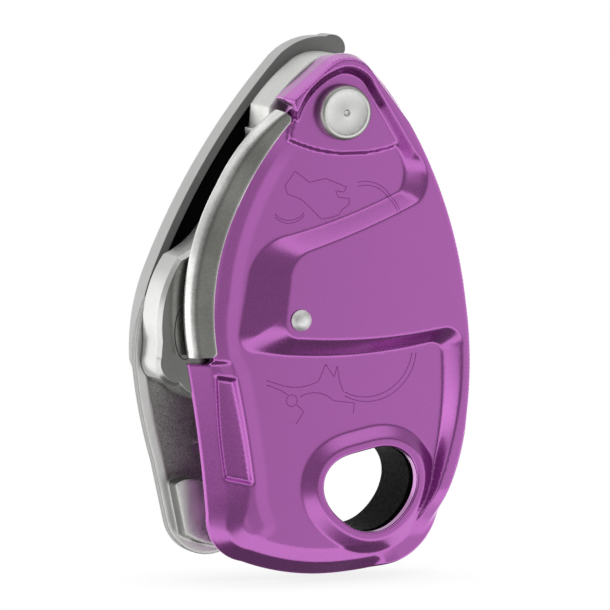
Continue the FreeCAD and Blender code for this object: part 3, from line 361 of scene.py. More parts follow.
def relief_plate(name, loops, relief, front, back, material, creases, edge_radius):
    """A closed plate between two height maps, with rounded front edges.

    loops holds the outline and then the holes."""
    loops = [clockwise(loops[0])] + [clockwise(loop)[::-1] for loop in loops[1:]]
    sides = [inward(loop) for loop in loops]
    rings = [loop + side * edge_radius * share
             for share in (0.08, 0.3, 0.62, 1.05) for loop, side in zip(loops, sides)]
    near_edge = np.vstack(rings)
    keep = inside(near_edge, loops[0])
    for loop in loops[1:]:
        keep &= ~inside(near_edge, loop)
    fill = fill_points(loops, 0.6, edge_radius * 1.4, creases, (-0.5, -0.25, 0.0, 0.25, 0.5), 0.75)

    def rounding(points):
        gap = np.min([distance(points, loop, True) for loop in loops], axis=0)
        gap = np.clip(gap, 0, edge_radius)
        return edge_radius - np.sqrt(np.maximum(2 * edge_radius * gap - gap ** 2, 0))

    flat, triangles = triangulate(loops, np.vstack([near_edge[keep], fill]))
    border = sum(len(loop) for loop in loops)
    edge_zone = np.arange(len(flat)) < border + keep.sum()
    heights = relief.sample(front, flat)
    slope_x, slope_z = (relief.sample(values, flat) for values in relief.slopes(front))
    heights[edge_zone] -= rounding(flat[edge_zone])
    delta = 0.02
    zone = flat[edge_zone]
    slope_x[edge_zone] -= (rounding(zone + [delta, 0]) - rounding(zone - [delta, 0])) / (2 * delta)
    slope_z[edge_zone] -= (rounding(zone + [0, delta]) - rounding(zone - [0, delta])) / (2 * delta)
    normals = np.column_stack([-slope_x, -np.ones(len(flat)), -slope_z])
    outward = -np.vstack(sides)
    normals[:border] = np.column_stack([outward[:, 0], np.full(border, -0.12), outward[:, 1]])
    normals /= np.linalg.norm(normals, axis=1)[:, None]
    vertices = [np.column_stack([flat[:, 0], -heights, flat[:, 1]])]
    faces = [tuple(t) for t in triangles.tolist()]
    loop_normals = [normals[triangles.ravel()]]

    # the back surface and the side walls
    base = len(flat)
    rear, rear_triangles = triangulate(loops, fill_points(loops, 1.0, 0.8))
    rear_heights = relief.sample(back, rear)
    rear_heights[:border] = np.minimum(rear_heights[:border], heights[:border] - 0.2)
    rear_x, rear_z = (relief.sample(values, rear) for values in relief.slopes(back))
    rear_normals = np.column_stack([rear_x, np.ones(len(rear)), rear_z])
    rear_normals /= np.linalg.norm(rear_normals, axis=1)[:, None]
    vertices.append(np.column_stack([rear[:, 0], -rear_heights, rear[:, 1]]))
    side_normals = np.column_stack([outward[:, 0], np.zeros(border), outward[:, 1]])
    first = 0
    for loop in loops:
        count = len(loop)
        a = first + np.arange(count)
        b = first + (np.arange(count) + 1) % count
        faces += list(zip(a.tolist(), b.tolist(), (base + b).tolist(), (base + a).tolist()))
        loop_normals.append(side_normals[np.column_stack([a, b, b, a]).ravel()])
        first += count
    faces += [tuple(t) for t in (base + rear_triangles[:, ::-1]).tolist()]
    loop_normals.append(rear_normals[rear_triangles[:, ::-1].ravel()])
    return add_mesh(name, np.vstack(vertices), faces, material, np.vstack(loop_normals).tolist())


def slab(name, outline, profile, material, holes=()):
    """A closed solid from an outline; profile is a list of (inset, y) from front to back.

    An inset may be an array with one value per outline point."""
    outline = clockwise(outline)
    normal = inward(outline)
    count = len(outline)
    rings = [outline + normal * np.broadcast_to(inset, count)[:, None] for inset, _ in profile]
    vertices = [np.column_stack([ring[:, 0], np.full(count, y), ring[:, 1]])
                for ring, (_, y) in zip(rings, profile)]
    faces = []
    for level in range(len(profile) - 1):
        for k in range(count):
            a, b = level * count + k, level * count + (k + 1) % count
            faces.append((a, b, b + count, a + count))
    total = count * len(profile)
    holes = [clockwise(hole) for hole in holes]
    starts = []
    for ring, y, base in ((rings[0], profile[0][1], 0), (rings[-1], profile[-1][1], total - count)):
        flat, triangles = triangulate([ring] + holes)
        index = np.concatenate([base + np.arange(count), total + np.arange(len(flat) - count)])
        vertices.append(np.column_stack([flat[count:, 0], np.full(len(flat) - count, y), flat[count:, 1]]))
        starts.append(total)
        total += len(flat) - count
        order = triangles if base == 0 else triangles[:, ::-1]
        faces += [tuple(t) for t in index[order].tolist()]
    offset = 0
    for hole in holes:
        size = len(hole)
        for k in range(size):
            a, b = offset + k, offset + (k + 1) % size
            faces.append((starts[0] + b, starts[0] + a, starts[1] + a, starts[1] + b))
        offset += size
    return sharpen(add_mesh(name, np.vstack(vertices), faces, material))


def round_profile(front, back, front_radius, back_radius, steps=5):
    """Slab profile with quarter-round edges."""
    turns = np.linspace(0, math.pi / 2, steps + 1)
    profile = [(front_radius * (1 - math.sin(t)), front + front_radius * (1 - math.cos(t))) for t in turns]
    profile += [(back_radius * (1 - math.cos(t)), back - back_radius * (1 - math.sin(t))) for t in turns]
    return profile


def lathe(name, centre, profile, material, segments=96):
    """A turned solid about the Y direction; profile is (radius, y), starting and ending on the axis."""
    vertices = []
    rows = []
    faces = []
    for radius, y in profile:
        if radius < 1e-6:
            rows.append([len(vertices)])
            vertices.append((centre[0], y, centre[1]))
            continue
        rows.append(list(range(len(vertices), len(vertices) + segments)))
        for k in range(segments):
            turn = 2 * math.pi * k / segments
            vertices.append((centre[0] + radius * math.cos(turn), y,
                             centre[1] + radius * math.sin(turn)))
    for first, second in zip(rows[:-1], rows[1:]):
        for k in range(segments):
            n = (k + 1) % segments
            a, b = len(first), len(second)
            corners = list(dict.fromkeys([first[n % a], first[k % a], second[k % b], second[n % b]]))
            if len(corners) > 2:
                faces.append(tuple(corners))
    return sharpen(add_mesh(name, vertices, faces, material), 30)


def tube(name, path, radius, material, sides=12):
    """Round wire along a path of points in mm, closed at both ends."""
    tangents = np.gradient(path, axis=0)
    tangents /= np.linalg.norm(tangents, axis=1)[:, None]
    across = np.cross(tangents[0], (0.0, 0.0, 1.0))
    turn = np.linspace(0, 2 * math.pi, sides, endpoint=False)
    vertices = []
    for point, tangent in zip(path, tangents):
        across = across - tangent * (across @ tangent)
        across /= np.linalg.norm(across)
        up = np.cross(tangent, across)
        vertices += [point + radius * (math.cos(a) * across + math.sin(a) * up) for a in turn]
    faces = []
    for ring in range(len(path) - 1):
        for side in range(sides):
            here, beyond = ring * sides + side, ring * sides + (side + 1) % sides
            faces.append((here, beyond, beyond + sides, here + sides))
    faces.append(tuple(range(sides))[::-1])
    faces.append(tuple(len(vertices) - sides + side for side in range(sides)))
    return add_mesh(name, vertices, faces, material)


def line_strips(name, paths, level, width, rise, material):
    """Fine lines: low rounded strips that follow the surface given by level(points)."""
    shape = [(-0.5, -0.2), (-0.4, 0.6), (0.0, 1.0), (0.4, 0.6), (0.5, -0.2)]
    vertices = []
    faces = []
    for path in paths:
        base = len(vertices)
        for point, side, height in zip(path, right_side(path), level(path)):
            for across, up in shape:
                place = point + side * across * width
                vertices.append((place[0], -(height + up * rise), place[1]))
        size = len(shape)
        for i in range(len(path) - 1):
            for k in range(size):
                n = (k + 1) % size
                a, b = base + i * size, base + (i + 1) * size
                faces.append((a + k, a + n, b + n, b + k))
        faces.append(tuple(base + k for k in reversed(range(size))))
        faces.append(tuple(base + (len(path) - 1) * size + k for k in range(size)))
    return add_mesh(name, vertices, faces, material)


def attach(piece, body, slot, *nodes):
    """Ride a piece on a body and let it stand for CAD nodes, which are hidden; slot is not used."""
    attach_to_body(piece, body)
    if nodes:
        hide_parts(*nodes)


# ------------------------------------------------------------------ materials
def add_node(tree, kind, **settings):
    """A shader node; settings are its properties, or its inputs by name with in_ in front."""
    node = tree.nodes.new(kind)
    for key, value in settings.items():
        if key.startswith("in_"):
            node.inputs[key[3:].replace("_", " ")].default_value = value
        else:
            setattr(node, key, value)
    return node


def noise(tree, place, scale, detail=3.0, roughness=0.55):
    """Soft noise from 0 to 1; scale is in cells per metre."""
    node = add_node(tree, "ShaderNodeTexNoise", in_Scale=scale, in_Detail=detail,
                    in_Roughness=roughness)
    tree.links.new(place, node.inputs["Vector"])
    return node.outputs["Fac"]


def span(tree, value, low, high, to_low, to_high, smooth=False):
    """A value mapped from one range to another and held at its ends."""
    node = add_node(tree, "ShaderNodeMapRange")
    if smooth:
        node.interpolation_type = "SMOOTHSTEP"
    tree.links.new(value, node.inputs["Value"])
    for key, number in (("From Min", low), ("From Max", high), ("To Min", to_low), ("To Max", to_high)):
        node.inputs[key].default_value = number
    return node.outputs["Result"]


def mix_colour(tree, share, first, second, blend="MIX"):
    """A colour mix; first and second are sockets or RGB values, share a socket or a number."""
    node = add_node(tree, "ShaderNodeMix", data_type="RGBA", blend_type=blend)
    inputs = [socket for socket in node.inputs if socket.enabled]
    for socket, value in zip(inputs, (share, first, second)):
        if isinstance(value, bpy.types.NodeSocket):
            tree.links.new(value, socket)
        elif isinstance(value, (int, float)):
            socket.default_value = value
        else:
            socket.default_value = (*value, 1.0)
    return next(socket for socket in node.outputs if socket.enabled)


def arithmetic(tree, operation, first, second):
    """One sum on two sockets or numbers."""
    node = add_node(tree, "ShaderNodeMath", operation=operation)
    for socket, value in zip(node.inputs, (first, second)):
        if isinstance(value, bpy.types.NodeSocket):
            tree.links.new(value, socket)
        else:
            socket.default_value = value
    return node.outputs["Value"]


def split(tree, vector):
    """X, Y and Z of a vector socket."""
    node = add_node(tree, "ShaderNodeSeparateXYZ")
    tree.links.new(vector, node.inputs["Vector"])
    return node.outputs


def bumped(tree, height, depth, base=None):
    """A bump node for a height socket over a depth in mm, on top of a base normal."""
    node = add_node(tree, "ShaderNodeBump", in_Strength=1.0, in_Distance=depth * MM)
    tree.links.new(height, node.inputs["Height"])
    if base is not None:
        tree.links.new(base, node.inputs["Normal"])
    return node


def make_finish(name, colour, metallic, roughness, grain, bump, variation=0.08, coat=0.0,
                coat_roughness=0.1, coat_ior=1.5, edge=0.0, specular=0.5, pits=0.0, front=None):
    """A procedural finish.

    grain is the size of the fine texture in mm and bump its depth in mm; edge rounds sharp
    edges over that many mm; pits adds coarser unevenness of that depth in mm; front is a
    colour painted on the faces that look to the front: painted shade where it is darker than
    colour and painted light where it is lighter."""
    material = bpy.data.materials.new(name)
    material.use_nodes = True
    tree = material.node_tree
    tree.nodes.clear()
    output = add_node(tree, "ShaderNodeOutputMaterial")
    shader = add_node(tree, "ShaderNodeBsdfPrincipled", in_Metallic=metallic, in_Coat_Weight=coat,
                      in_Coat_Roughness=coat_roughness, in_Coat_IOR=coat_ior,
                      in_Specular_IOR_Level=specular)
    tree.links.new(shader.outputs["BSDF"], output.inputs["Surface"])
    place = add_node(tree, "ShaderNodeTexCoord").outputs["Object"]
    fine = noise(tree, place, 1 / (grain * MM), 4.0, 0.6)
    broad = noise(tree, place, 90.0, 3.0, 0.5)
    speck = noise(tree, place, 1 / (grain * 3.2 * MM), 2.0, 0.5)

    shade = span(tree, broad, 0.3, 0.7, 1 - variation, 1 + variation)
    shade = arithmetic(tree, "MULTIPLY", shade, span(tree, fine, 0.3, 0.7, 1 - variation, 1 + variation))
    normal = split(tree, add_node(tree, "ShaderNodeNewGeometry").outputs["Normal"])
    # painted light and shade: faces that look to the front (normal towards -Y) get the front colour in place of
    # the base colour
    painted_front_mask = span(tree, normal["Y"], -0.99, -0.9, 1.0, 0.0)
    colour_with_painted_front = mix_colour(tree, painted_front_mask, colour, front or colour)
    scaled = add_node(tree, "ShaderNodeVectorMath", operation="SCALE")
    tree.links.new(colour_with_painted_front, scaled.inputs[0])
    tree.links.new(shade, scaled.inputs["Scale"])
    tree.links.new(scaled.outputs["Vector"], shader.inputs["Base Color"])
    tree.links.new(span(tree, speck, 0.3, 0.7, roughness * 0.85, min(1.0, roughness * 1.2)),
                   shader.inputs["Roughness"])

    rounded = None
    if edge:
        rounded = add_node(tree, "ShaderNodeBevel", samples=6, in_Radius=edge * MM).outputs["Normal"]
    surface = bumped(tree, fine, bump, rounded).outputs["Normal"]
    if pits:
        surface = bumped(tree, speck, pits, surface).outputs["Normal"]
    tree.links.new(surface, shader.inputs["Normal"])
    return material


def make_cast_finish():
    """Blasted casting: bright satin rim and bosses, painted light on faces that look to the front, painted shade
    on low sideways faces and a rough floor in the recess painted dark as shade.
    """
    # painted light: faces that look to the front are painted lighter than the rim colour
    material = make_finish("cast_plate", (0.72, 0.72, 0.70), 1.0, 0.38, 0.25, 0.006, edge=1.1,
                           front=(0.80, 0.80, 0.78))
    tree = material.node_tree
    shader = next(n for n in tree.nodes if n.type == "BSDF_PRINCIPLED")
    place = add_node(tree, "ShaderNodeTexCoord").outputs["Object"]
    parts = split(tree, place)
    rim = shader.inputs["Base Color"].links[0].from_socket
    normal = split(tree, add_node(tree, "ShaderNodeNewGeometry").outputs["Normal"])
    # painted shade: sideways faces low on the plate (below about 70-77 mm) are painted dark grey
    sideways = span(tree, normal["Y"], -0.9, -0.6, 0.0, 1.0)
    low = span(tree, parts["Z"], 0.070, 0.077, 1.0, 0.0)
    painted_low_side_shade = mix_colour(tree, arithmetic(tree, "MULTIPLY", sideways, low), rim, (0.30, 0.30, 0.295))
    floor_thickness = 2.5
    recess = extent("fixed_side_plate", 1)[1] - floor_thickness
    deep = span(tree, parts["Y"], (recess - 0.3) * MM, (recess - 0.1) * MM, 0.0, 1.0)
    shallow = span(tree, parts["Y"], (recess + 0.1) * MM, (recess + 0.4) * MM, 1.0, 0.0)
    floor = arithmetic(tree, "MULTIPLY", deep, shallow)
    # painted shade: the recess floor is painted dark; the grain mixed into it and the bump below are the casting's
    # own roughness
    grains = noise(tree, place, 2600.0, 5.0, 0.7)
    share = span(tree, grains, 0.35, 0.65, 0.0, 1.0)
    dark = mix_colour(tree, share, (0.24, 0.24, 0.23), (0.52, 0.52, 0.49))
    tree.links.new(mix_colour(tree, floor, painted_low_side_shade, dark), shader.inputs["Base Color"])
    smooth = shader.inputs["Normal"].links[0].from_socket
    rough = bumped(tree, grains, 0.14, smooth)
    tree.links.new(floor, rough.inputs["Strength"])
    tree.links.new(rough.outputs["Normal"], shader.inputs["Normal"])
    return material


def make_finishes():
    """The finishes, by material slot, plus a few for single pieces."""
    purple = (0.475, 0.108, 0.475)
    return {
        "anodised_plate": make_finish("anodised_plate", purple, 0.93, 0.25, 0.16, 0.0,
                                      variation=0.01, coat=0.8, coat_roughness=0.16, coat_ior=1.65),
        # painted shade: a darker copy of the plate's purple for the marking lines, standing in for the shade along
        # the embossed lines
        "painted_shade_line_purple": make_finish("painted_shade_line_purple", (0.27, 0.05, 0.28), 0.9, 0.3, 0.2, 0.0004,
                                   variation=0.012, coat=0.5),
        # painted shade: faces of this steel that look to the front are painted darker than the rest
        "stainless": make_finish("stainless", (0.76, 0.76, 0.74), 1.0, 0.30, 0.26, 0.014,
                                 variation=0.18, pits=0.006, edge=0.15, front=(0.235, 0.235, 0.22)),
        # painted shade: the cam's faces that look to the front are painted darker than its sides
        "polished_stainless": make_finish("polished_stainless", (0.62, 0.62, 0.61), 1.0, 0.22, 0.35,
                                          0.004, variation=0.06, edge=0.3, front=(0.21, 0.21, 0.20)),
        # painted light: faces of the rivet heads that look to the front are painted lighter than their sides
        "rivet_steel": make_finish("rivet_steel", (0.42, 0.42, 0.40), 1.0, 0.40, 0.3, 0.003,
                                   variation=0.05, edge=0.15, front=(0.84, 0.84, 0.82)),
        # painted light: the front of the small rivet's dome is painted lighter than its sides
        "bright_rivet": make_finish("bright_rivet", (0.72, 0.72, 0.71), 0.85, 0.46, 0.3, 0.002,
                                    variation=0.03, front=(0.9, 0.9, 0.9)),
        "spring_steel": make_finish("spring_steel", (0.22, 0.22, 0.23), 1.0, 0.3, 0.2, 0.002),
        "bronze": make_finish("bronze", (0.50, 0.33, 0.16), 1.0, 0.42, 0.15, 0.01, edge=0.1),
        "black_nylon": make_finish("black_nylon", (0.004, 0.004, 0.004), 0.0, 0.6, 0.3, 0.004,
                                   edge=0.3, specular=0.03),
        # painted shade: faces of the handle that look to the front are painted darker than its sides
        "grey_nylon": make_finish("grey_nylon", (0.48, 0.48, 0.475), 0.0, 0.48, 0.22, 0.006,
                                  variation=0.04, edge=0.35, pits=0.004, front=(0.21, 0.21, 0.208)),
        "cast_plate": make_cast_finish(),
        "engraving": make_finish("engraving", (0.05, 0.05, 0.05), 0.6, 0.5, 0.3, 0.001),
    }


FINISH = make_finishes()


def finish_cad_nodes():
    """Gives every CAD node that stays visible the finish of its slot."""
    slots = {part["node"]: part["material_slot"] for part in frame["record"]["subparts"]}
    for node, obj in frame["nodes"].items():
        obj.data.materials.clear()
        obj.data.materials.append(FINISH[slots[node]])
        for polygon in obj.data.polygons:
            polygon.material_index = 0


# ------------------------------------------------------------------ front plate
SIDE_WALL = arcs((-44.2, 31.2), [
    ("arc", -41.5, 15.0, -39.3, -5.0),
    ("arc", -37.0, -12.7, -30.4, -16.7),
    ("arc", -14.0, -20.4, 2.4, -19.4),
])
LEFT_EDGE = [("arc", -42.7, 56.0, -35.8, 73.1), ("arc", -29.9, 82.0, -20.6, 90.4)]
FLANGE = arcs((-21.4, 94.1), [("line", -10.6, 102.9)])


def plate_outline():
    """Edge of the front plate, with the cut-out for the rope lip on the left."""
    right = arcs((-10.6, 102.9), [
        ("arc", -5.6, 104.3, 0.6, 101.2),
        ("arc", 6.0, 94.8, 10.8, 87.9),
        ("arc", 20.6, 66.5, 25.6, 44.3),
        ("arc", 26.7, 31.0, 25.9, 17.0),
        ("arc", 23.4, 6.0, 18.4, -7.6),
        ("arc", 14.3, -14.2, 6.4, -18.5),
        ("line", 2.4, -19.4),
    ])
    notch = arcs((-44.2, 31.2), [
        ("line", -40.0, 31.0),
        ("arc", -39.0, 32.2, -40.0, 33.4),
        ("line", -43.0, 34.0),
        ("arc", -42.5, 56.0, -35.6, 73.0),
        ("arc", -30.1, 81.6, -20.6, 89.9),
        ("line", -19.9, 92.2),
        ("line", -21.4, 94.1),
        ("line", -10.6, 102.9),
    ])
    return np.vstack([right[:-1], SIDE_WALL[::-1], notch[1:-1]])


def raised_top():
    """Raised region on top: the middle field and the strips along the upper and right edge."""
    return closed_arcs((-19.4, 89.4), [
        ("arc", -15.0, 97.3, -7.0, 101.4),
        ("arc", -2.6, 100.3, 1.2, 96.3),
        ("line", 11.5, 80.0),
        ("arc", 14.3, 74.0, 12.2, 68.6),
        ("arc", -1.5, 62.8, -15.7, 57.9),
        ("arc", -19.7, 55.0, -21.0, 50.5),
        ("line", -22.2, 41.0),
        ("arc", -21.4, 38.1, -18.3, 36.9),
        ("arc", -1.0, 36.3, 18.8, 38.2),
        ("arc", 22.4, 37.0, 23.5, 33.2),
        ("arc", 22.9, 20.5, 19.9, 7.5),
        ("arc", 16.4, -1.8, 10.4, -11.6),
        ("line", 12.4, -13.4),
        ("arc", 19.6, -2.4, 25.0, 17.0),
        ("arc", 25.8, 31.0, 24.7, 44.3),
        ("arc", 19.8, 66.0, 9.9, 87.4),
        ("line", -0.3, 100.6),
        ("arc", -5.6, 103.4, -10.4, 102.0),
        ("line", -20.4, 93.6),
    ], 1.0)


def raised_foot():
    """The same region where its sloping wall meets the sheet."""
    return closed_arcs((-18.0, 87.0), [
        ("arc", -13.8, 95.0, -7.0, 99.2),
        ("arc", -3.6, 98.7, -0.6, 95.9),
        ("line", 7.9, 81.6),
        ("arc", 9.8, 75.0, 8.6, 70.9),
        ("arc", -5.0, 65.5, -19.5, 61.4),
        ("arc", -27.3, 57.7, -30.3, 51.8),
        ("line", -32.4, 39.5),
        ("arc", -31.9, 35.3, -28.5, 33.7),
        ("arc", -6.0, 32.2, 16.4, 34.5),
        ("arc", 19.0, 33.7, 19.7, 31.4),
        ("arc", 19.3, 15.0, 16.7, 1.0),
        ("arc", 14.3, -5.2, 9.4, -11.4),
        ("line", 13.0, -14.6),
        ("arc", 20.3, -2.8, 25.8, 17.0),
        ("arc", 26.6, 31.0, 25.5, 44.3),
        ("arc", 20.5, 66.4, 10.6, 87.8),
        ("line", 0.4, 101.2),
        ("arc", -5.6, 104.2, -10.6, 102.8),
        ("line", -21.2, 94.0),
    ], 1.0)


def platform_loop():
    """Low platform round the pivot rivet."""
    return closed_arcs((-20.2, 84.2), [
        ("arc", -6.3, 80.5, 8.6, 82.4),
        ("line", 0.4, 96.8),
        ("arc", -4.6, 99.6, -9.6, 98.8),
        ("arc", -16.6, 93.6, -20.2, 84.2),
    ], 1.0)


RIDGE = arcs((-19.6, 84.6), [
    ("arc", -30.3, 67.0, -35.2, 46.7),
    ("arc", -35.9, 40.0, -35.0, 32.3),
    ("line", -32.9, 27.9),
    ("arc", -30.6, 16.0, -28.7, 3.0),
    ("arc", -28.2, -3.0, -26.4, -8.0),
])
FOLD = arcs((-26.4, -8.0), [
    ("arc", -16.3, -12.9, -5.6, -14.5),
    ("arc", 1.0, -14.9, 8.5, -13.2),
    ("arc", 13.4, -11.0, 17.6, -6.4),
])
FOLDS_TOP = 31.5


def channel_loop():
    """Shallow channel pressed into the lower left, between the side wall and the ridge."""
    return closed_arcs((-37.9, 28.2), [
        ("line", -33.4, 27.4),
        ("arc", -31.0, 15.2, -29.0, 2.0),
        ("line", -35.6, 3.4),
        ("arc", -37.1, 15.2, -37.9, 28.2),
    ])


def folded_drop(points):
    """How far the sheet lies behind its flat middle along the folded left and lower edge."""
    gap = distance(points, SIDE_WALL)
    first = 3.0 + 1.7 * ramp(points[:, 1], -14.0, -2.0)
    second = first + 3.4 + 1.4 * ramp(points[:, 1], -8.0, 2.0)
    step = 1.0 + 0.5 * ramp(points[:, 1], -10.0, 0.0)
    deepest = FLOOR - WALL_BACK - 0.9
    outer = deepest - (deepest - step) * gap / first
    inner = step * (1.0 - (gap - first) / (second - first))
    drop = np.where(gap < first, outer, np.maximum(inner, 0))
    right_end = ramp(points[:, 0], 15.0, -6.0)
    return np.minimum(drop, deepest) * right_end


def raised_share(points):
    """0 on the sheet to 1 on top of the raised region, with a sloping wall between."""
    foot, top = raised_foot(), raised_top()
    on_top = inside(points, top)
    wall = inside(points, foot) & ~on_top
    low = distance(points[wall], foot, True)
    share = low / (low + distance(points[wall], top, True))
    raised = on_top.astype(float)
    raised[wall] = 0.12 * np.sin(share * math.pi / 2) + 0.88 * share
    # the strip along the right edge fades out towards the bottom
    low_right = (points[:, 0] > 4) & (points[:, 1] < 0)
    raised[low_right] *= ramp(points[low_right][:, 1], -12.5, 0.0)
    return raised


def plate_relief():
    """Height maps of the front and back of the front plate."""
    relief = Relief((-46.0, -22.0), (28.0, 106.0), 0.2)
    points = relief.points
    heights = FLOOR + PLATEAU_RISE * raised_share(points)
    platform = inside(points, platform_loop())
    heights[platform] = np.maximum(heights[platform], FLOOR + PLATFORM_RISE)
    collar_reach = 22.0
    near = np.linalg.norm(points, axis=1) < collar_reach
    gap = distance(points[near], rounded_egg(0.0), True)
    gap[inside(points[near], rounded_egg(0.0))] = 0
    collar = FLOOR + COLLAR_RISE * np.clip((COLLAR_WIDTH - gap) / COLLAR_SLOPE, 0, 1)
    heights[near] = np.maximum(heights[near], collar)

    ridge_rise, ridge_width = 0.25, 3.0
    crest = np.clip(1 - distance(points, RIDGE) / ridge_width, 0, 1)
    heights += ridge_rise * crest * ramp(points[:, 1], 84.0, 76.0)
    low = points[:, 1] < FOLDS_TOP
    heights[low] -= folded_drop(points[low])
    channel_depth, channel_wall = 1.5, 0.6
    channel = inside(points, channel_loop())
    wall_gap = distance(points[channel], channel_loop(), True)
    heights[channel] -= channel_depth * np.clip(wall_gap / channel_wall, 0, 1)
    crown = 0.0006 * points[:, 0] ** 2
    front_blur, back_blur = 0.24, 0.8
    front = relief.blurred(heights, front_blur) - crown

    # the back follows the front at sheet thickness and thickens into the bent side wall
    back = relief.blurred(heights, back_blur) - crown - SHEET
    edge = distance(points, SIDE_WALL)
    edge = np.minimum(edge, distance(points, FLANGE))
    share = ramp(edge, 1.5, 2.6)
    back = relief.blurred(share * back + (1 - share) * (WALL_BACK + 0.05), 0.25)
    return relief, front, back


def build_front_plate():
    """The pressed front plate; gives back the height of its front at any points."""
    relief, front, back = plate_relief()
    holes = [rounded_egg(0.0), circle(PIVOT, SHANK_HOLE, 40), circle(SMALL_RIVET, SMALL_SHANK_HOLE, 32)]
    creases = [np.vstack([loop, loop[:1]]) for loop in (raised_top(), raised_foot())]
    creases += [np.vstack([egg, egg[:1]])
                for egg in (rounded_egg(COLLAR_WIDTH - COLLAR_SLOPE), rounded_egg(COLLAR_WIDTH))]
    creases += [resample(path, 0.5) for path in (RIDGE, FOLD, channel_loop())]
    creases.append(SIDE_WALL - 3.0 * right_side(SIDE_WALL))
    plate = relief_plate("front_plate", [plate_outline()] + holes, relief, front, back,
                         FINISH["anodised_plate"], creases, PLATE_EDGE_RADIUS)
    attach(plate, "moving_plate", "anodised_plate", "moving_side_plate")
    return lambda points: relief.sample(front, points)


def build_markings(level):
    """Fine lines on the plate: a plain hand, a plain climbing figure and the rope's path."""
    hand = arcs((-21.0, 73.2), [
        ("line", -18.4, 76.6), ("line", -14.8, 73.8), ("line", -10.6, 74.6), ("line", -5.2, 72.4),
        ("line", -6.0, 71.2), ("line", -8.0, 71.6), ("line", -7.4, 70.0), ("line", -4.4, 69.6),
        ("line", -4.6, 68.2), ("line", -6.4, 67.0), ("line", -7.2, 65.8), ("line", -9.4, 65.2),
        ("line", -11.8, 65.0), ("line", -14.2, 67.4), ("line", -16.8, 69.8), ("line", -20.4, 71.2),
        ("line", -21.0, 73.2),
    ])
    smile = [arcs((-23.6, 66.6 - k), [("arc", -19.8, 64.9 - k, -16.2, 66.6 - k)]) for k in (0, 0.7)]
    upper_rope = [arcs((-2.4, 73.4 - k), [("arc", 4.2, 72.0 - k, 7.4 - 0.6 * k, 66.0)])
                  for k in (0, 1.0)]
    lower_rope = [arcs((12.9 - 1.2 * k, 32.0), [("arc", 9.6 - k, 24.8 + k, -5.6, 22.4 + k)])
                  for k in (0, 0.9)]
    head = arcs((-17.9, 21.8), [("arc", -19.3, 23.2, -20.7, 21.8), ("arc", -19.3, 20.4, -17.9, 21.8)])
    figure = [
        arcs((-25.8, 26.9), [("line", -22.0, 25.6), ("arc", -17.0, 25.0, -12.4, 26.2),
                             ("line", -10.6, 30.2)]),
        arcs((-25.6, 25.8), [("line", -22.2, 24.4), ("line", -20.2, 23.2)]),
        arcs((-10.6, 30.2), [("line", -8.4, 27.0), ("line", -7.6, 29.8), ("line", -7.0, 26.0)]),
        arcs((-18.0, 20.8), [("line", -16.2, 19.0), ("line", -18.2, 16.2)]),
        arcs((-17.2, 22.6), [("arc", -12.6, 23.4, -8.6, 21.4), ("line", -3.2, 20.6),
                             ("line", -3.4, 18.2)]),
        arcs((-7.0, 26.0), [("line", -6.0, 23.4)]),
    ]
    # the lines take the darker purple, painted shade along the embossed lines
    lines = line_strips("plate_markings", [hand, head] + smile + upper_rope + lower_rope + figure, level,
                        0.24, 0.012, FINISH["painted_shade_line_purple"])
    attach(lines, "moving_plate", "anodised_plate")


